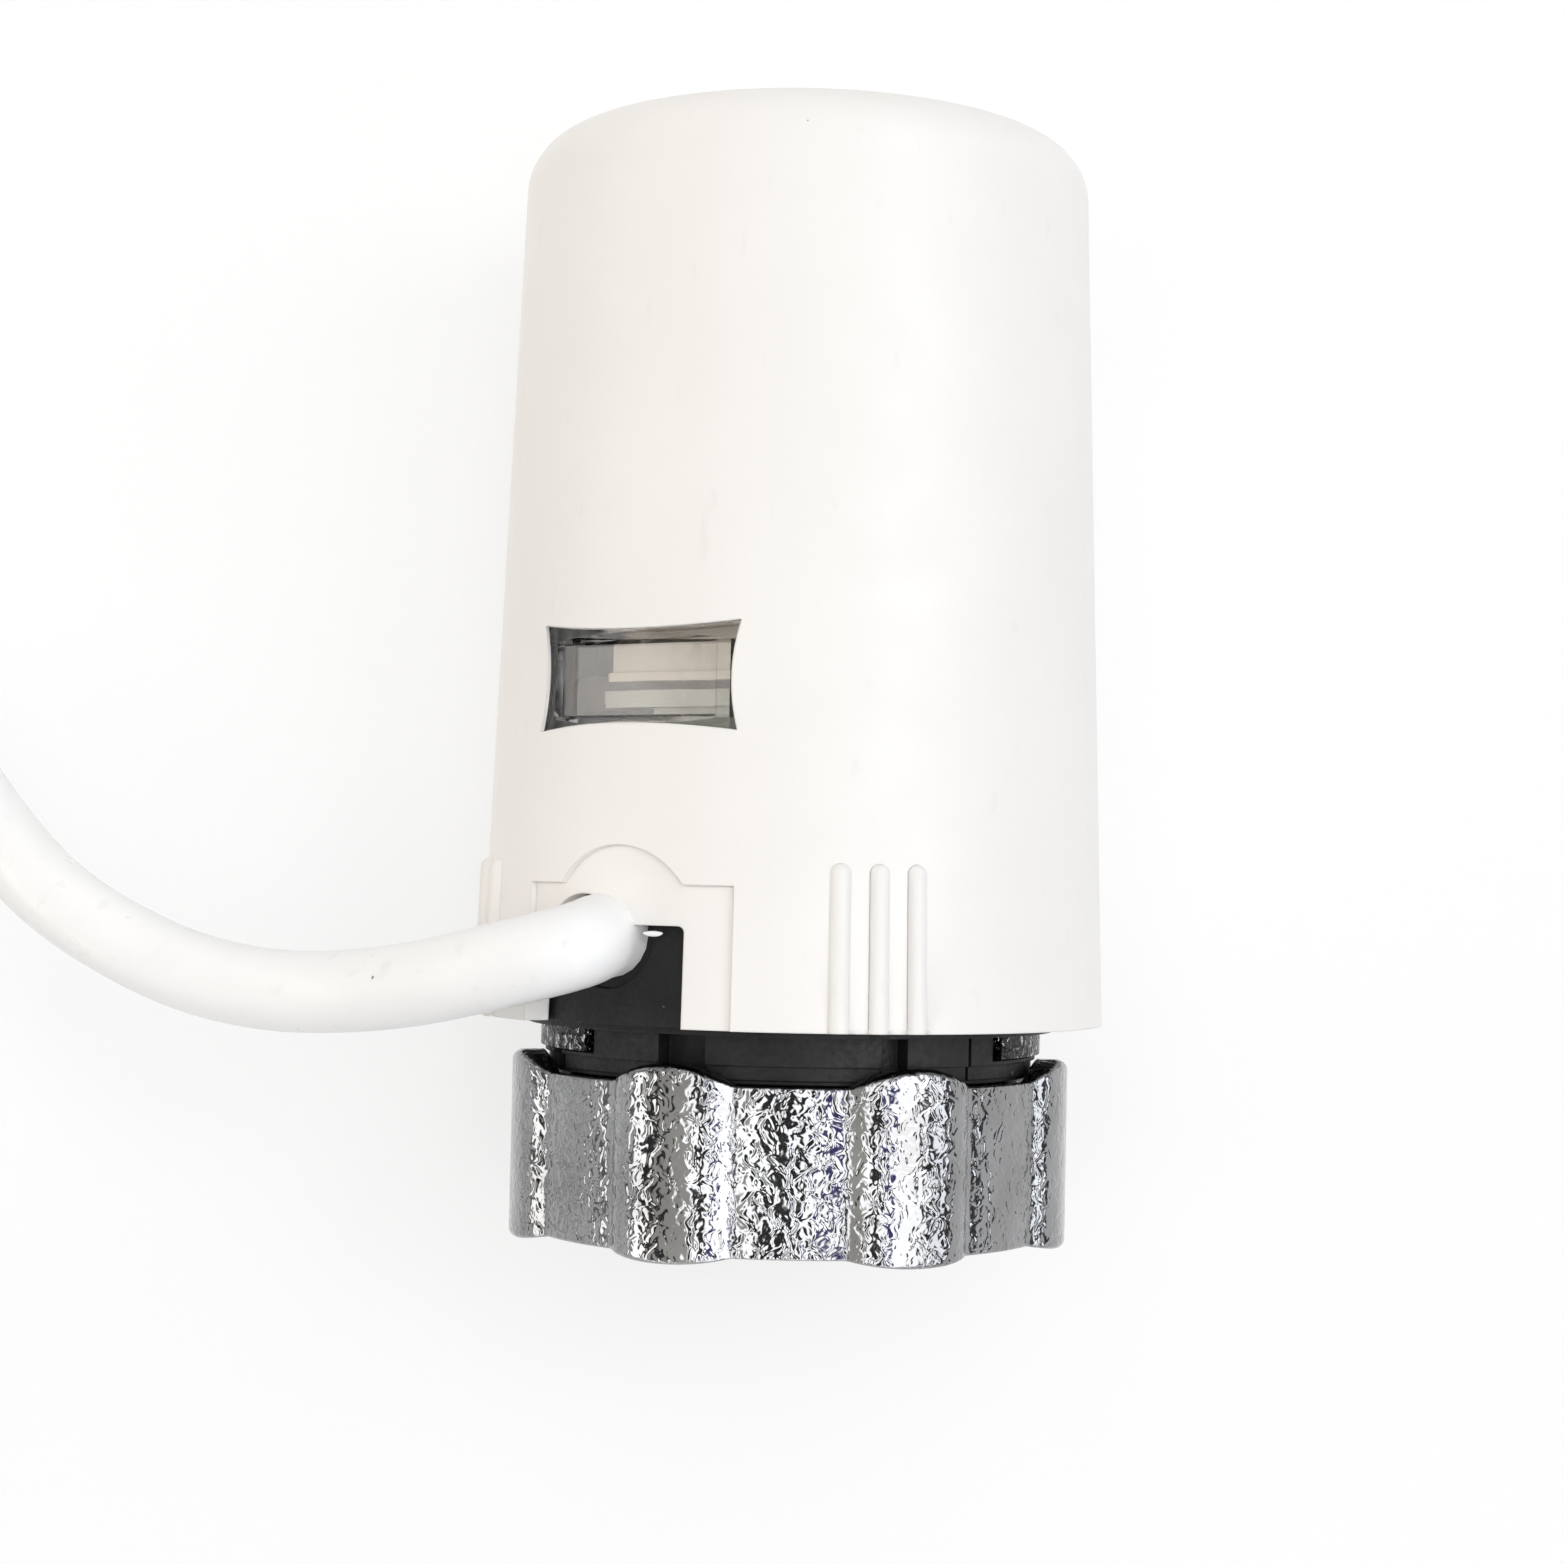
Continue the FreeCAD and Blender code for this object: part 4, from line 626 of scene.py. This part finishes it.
def nut_section(angle):
    """Radius and height of the nut's section at an angle: outside, cup, web, thread and mouth."""
    out, mouth, top = nut_outside(angle)
    out += [(NUT_CUP_R, top), (NUT_CUP_R, NUT_WEB_TOP), (NUT_WEB_R, NUT_WEB_TOP), (NUT_WEB_R, NUT_WEB_LOW)]
    out += [(NUT_RELIEF_R, NUT_WEB_LOW), (NUT_RELIEF_R, THREAD_END + THREAD_RELIEF)]
    for i in range(THREAD_ROWS + 1):
        y = THREAD_END + (THREAD_START - THREAD_END) * i / THREAD_ROWS
        turns = (y / THREAD_PITCH - angle / (2 * math.pi)) % 1.0
        fade = min(1.0, i / THREAD_FADE_ROWS, (THREAD_ROWS - i) / THREAD_FADE_ROWS)
        groove = max(0.0, 1 - THREAD_STEEP * abs(turns - 0.5))
        out.append((THREAD_MINOR_R + THREAD_DEPTH * fade * groove, y))
    out += [(THREAD_MINOR_R + THREAD_LEAD, 0.0), (THREAD_MINOR_R + THREAD_LEAD, mouth)]
    return out


def nut_piece():
    """Lobed nut with domed lobes and a cut thread, in place of the plain solid."""
    work = bmesh.new()
    rings = []
    for k in range(NUT_SEGMENTS):
        angle = 2 * math.pi * k / NUT_SEGMENTS
        rings.append([work.verts.new(round_axis(angle, r, NUT_MOUTH_Y + y)) for r, y in nut_section(angle)])
    count = len(rings[0])
    for a, b in zip(rings, rings[1:] + rings[:1]):
        for i in range(count):
            j = (i + 1) % count
            work.faces.new((a[i], b[i], b[j], a[j]))
    obj = piece("nut_casting", work, nut_chrome(), "nut", sharp=40)
    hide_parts("union_nut")


# Closing spring

def spring_piece():
    """Open spring with closed end turns."""
    bottom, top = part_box("closing_spring")
    low = bottom.y + SPRING_WIRE_R
    run = top.y - SPRING_WIRE_R - low
    work = bmesh.new()
    rings = []
    for i in range(SPRING_STEPS + 1):
        wave = 2 * math.pi * i / SPRING_STEPS
        angle = SPRING_TURNS * wave
        y = low + run * (i / SPRING_STEPS - SPRING_CLOSE * math.sin(wave) / (2 * math.pi))
        climb = (1 - SPRING_CLOSE * math.cos(wave)) * run / (2 * math.pi * SPRING_TURNS)
        ahead = round_axis(angle + SPRING_AHEAD, SPRING_R, climb * SPRING_AHEAD)
        aim = (ahead - round_axis(angle, SPRING_R, 0)).normalized()
        centre = round_axis(angle, SPRING_R, y)
        out = round_axis(angle, 1, 0)
        up = aim.cross(out).normalized()
        ring = []
        for k in range(SPRING_SIDES):
            turn = 2 * math.pi * k / SPRING_SIDES
            side = out * math.cos(turn) + up * math.sin(turn)
            ring.append(work.verts.new(centre + side * SPRING_WIRE_R))
        rings.append(ring)
    for a, b in zip(rings, rings[1:]):
        for k in range(SPRING_SIDES):
            j = (k + 1) % SPRING_SIDES
            work.faces.new((a[k], a[j], b[j], b[k]))
    work.faces.new(rings[0])
    work.faces.new(rings[-1])
    obj = piece("spring_coil", work, bpy.data.materials["spring_steel"], "housing", sharp=50)
    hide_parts("closing_spring")
    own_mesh(obj)


# Nub beside the cable's way out

def nub_piece():
    """Small lump of moulded plastic at the right of the cable."""
    work = bmesh.new()
    bmesh.ops.create_icosphere(work, subdivisions=4, radius=1.0)
    for vert in work.verts:
        lump = 1.0
        for c, (height, often, start) in zip(vert.co, NUB_WAVES):
            lump += height * math.sin(often * c + start)
        vert.co = NUB_PLACE + Vector([c * half * lump for c, half in zip(vert.co, NUB_HALF)])
    obj = piece("moulding_nub", work, bpy.data.materials["cord_white"], "housing", sharp=60)


# Cable

def arc_points(centre, start, heading, sweep, count):
    """Control points for a smooth curve along an arc that leaves its start in the heading's direction."""
    step = sweep / count
    swell = 8 / (6 + 2 * math.cos(step))
    turns = [(i + 0.5) * step for i in range(count)]
    reach = start - centre
    side = heading.normalized() * reach.length
    return [centre + (reach * math.cos(t) + side * math.sin(t)) * swell for t in turns]


def coil_points():
    """Half turns that spiral in on the upper layer and out on the lower one, then the tail."""
    out = Vector((math.cos(COIL_TURN), math.sin(COIL_TURN), 0))
    heading = Vector((-math.sin(COIL_TURN), math.cos(COIL_TURN), 0))
    low = Vector((0, 0, COIL_LOW_Z))
    high = Vector((0, 0, COIL_LOW_Z + COIL_STEP))
    radii = [COIL_OUT_R - k * COIL_STEP / 2 for k in range(COIL_HALVES)]
    radii = radii + [COIL_OUT_R - COIL_HALVES * COIL_STEP / 2] + radii[::-1]
    start = COIL_CENTRE + out * COIL_OUT_R
    points = [start + high - heading * COIL_RUN_IN, start + high - heading * CORD_D]
    for k, r in enumerate(radii):
        inward = (COIL_CENTRE - start).normalized()
        centre = start + inward * r
        half = arc_points(centre, start, heading, math.pi, COIL_HALF_POINTS)
        for i, p in enumerate(half):
            level = 0.0 if k < COIL_HALVES else 1.0
            if k == COIL_HALVES:
                level = 0.5 - 0.5 * math.cos(math.pi * (i + 0.5) / len(half))
            points.append(p + high.lerp(low, level))
        start = centre + inward * r
        heading = -heading
    r = COIL_OUT_R + COIL_STEP / 2
    centre = start + (COIL_CENTRE - start).normalized() * r
    sweep = TAIL_ARC / r
    points += [p + low for p in arc_points(centre, start, heading, sweep, TAIL_POINTS)]
    last = centre + (start - centre) * math.cos(sweep) + heading * (r * math.sin(sweep)) + low
    aim = heading * math.cos(sweep) - (start - centre) / r * math.sin(sweep)
    return points + [last, last + aim * CORD_D]


def cable():
    """The whole cable as one curve, from inside the base to the end of its sheath."""
    start = [round_axis(CORD_ANGLE, r, CORD_EXIT_Y) for r in (CORD_START_R, CORD_EXIT_R)]
    points = start + [Vector(p) * MM for p in LEAD_ROUTE] + coil_points()
    data = bpy.data.curves.new("cable", "CURVE")
    data.dimensions = "3D"
    data.bevel_depth = CORD_D / 2
    data.bevel_resolution = 8
    data.resolution_u = 6
    data.use_fill_caps = True
    line = data.splines.new("NURBS")
    line.points.add(len(points) - 1)
    for place, p in zip(line.points, points):
        place.co = (*p, 1.0)
    line.order_u = 3
    line.use_endpoint_u = True
    obj = bpy.data.objects.new("cable", data)
    bpy.context.scene.collection.objects.link(obj)
    data.materials.append(cord_white())
    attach(obj, "housing")
    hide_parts("cord_lead", "cord_coil")


# Studio

def floor():
    """White plane under the casing's lowest ribs."""
    mesh = bpy.data.meshes.new("floor")
    work = bmesh.new()
    bmesh.ops.create_grid(work, x_segments=1, y_segments=1, size=FLOOR_SIZE)
    work.to_mesh(mesh)
    work.free()
    obj = bpy.data.objects.new("floor", mesh)
    obj.location = (0, 0, FLOOR_Z)
    mesh.materials.append(floor_white())
    bpy.context.scene.collection.objects.link(obj)


def lamp(name, angle, tilt, size, size_y, watts, colour, mirrored):
    """Soft lamp at an angle about the actuator's axis and a tilt along it, aimed at the casing."""
    data = bpy.data.lights.new(name, "AREA")
    data.shape = "RECTANGLE"
    data.size = size
    data.size_y = size_y
    data.energy = watts
    data.color = colour
    obj = bpy.data.objects.new(name, data)
    a = math.radians(angle)
    t = math.radians(tilt)
    away = Vector((math.sin(a) * math.cos(t), math.sin(t), math.cos(a) * math.cos(t)))
    obj.location = LAMP_AIM + away * LAMP_DISTANCE
    obj.rotation_euler = away.to_track_quat("Z", "Y").to_euler()
    obj.visible_glossy = mirrored
    bpy.context.scene.collection.objects.link(obj)


def world():
    """White to the camera, and to all other rays a studio of pale panels with dark gaps."""
    sky = bpy.data.worlds.new("studio")
    bpy.context.scene.world = sky
    t = Tree(sky)
    back = t.tree.nodes["Background"]
    path = t.node("ShaderNodeLightPath")
    split = t.node("ShaderNodeSeparateXYZ")
    t.link(t.node("ShaderNodeTexCoord").outputs["Generated"], split.inputs[0])
    angle = t.math("ARCTAN2", split.outputs["X"], split.outputs["Z"])
    panels = t.node("ShaderNodeValToRGB")
    stops = panels.color_ramp.elements
    for turn, colour in STUDIO[2:]:
        stops.new((turn + 180) / 360)
    for stop, (turn, colour) in zip(stops, STUDIO):
        stop.position = (turn + 180) / 360
        stop.color = (*colour, 1)
    t.link(t.ramp(angle, -math.pi, math.pi), panels.inputs["Fac"])
    t.link(t.mix(path.outputs["Is Camera Ray"], panels.outputs["Color"], WHITE), back.inputs["Color"])
    glare = t.math("MULTIPLY_ADD", path.outputs["Is Glossy Ray"], GLOSS_LIGHT - 1, 1.0)
    t.link(glare, back.inputs["Strength"])


def camera():
    """The photograph's camera, which looks down on the actuator's front."""
    data = bpy.data.cameras.new("camera")
    data.sensor_width = SENSOR_MM
    data.lens = SENSOR_MM * FOCAL_PX / IMAGE_PX
    data.clip_start = CAMERA_NEAR
    obj = bpy.data.objects.new("camera", data)
    cy, sy = math.cos(CAMERA_YAW), math.sin(CAMERA_YAW)
    cp, sp = math.cos(CAMERA_PITCH), math.sin(CAMERA_PITCH)
    cr, sr = math.cos(CAMERA_ROLL), math.sin(CAMERA_ROLL)
    ahead = Vector((cp * sy, sp, -cp * cy))
    side = Vector((cy, 0, sy))
    up = Vector((-sp * sy, cp, sp * cy))
    right = side * cr + up * sr
    top = up * cr - side * sr
    turn = Matrix((right, top, -ahead)).transposed().to_4x4()
    obj.matrix_world = Matrix.Translation(CAMERA_AT) @ turn
    bpy.context.scene.collection.objects.link(obj)
    bpy.context.scene.camera = obj


dress()
nut_piece()
spring_piece()
cable()
nub_piece()
floor()
for values in LAMPS:
    lamp(*values)
world()
camera()
scene = bpy.context.scene
scene.view_settings.view_transform = "Standard"
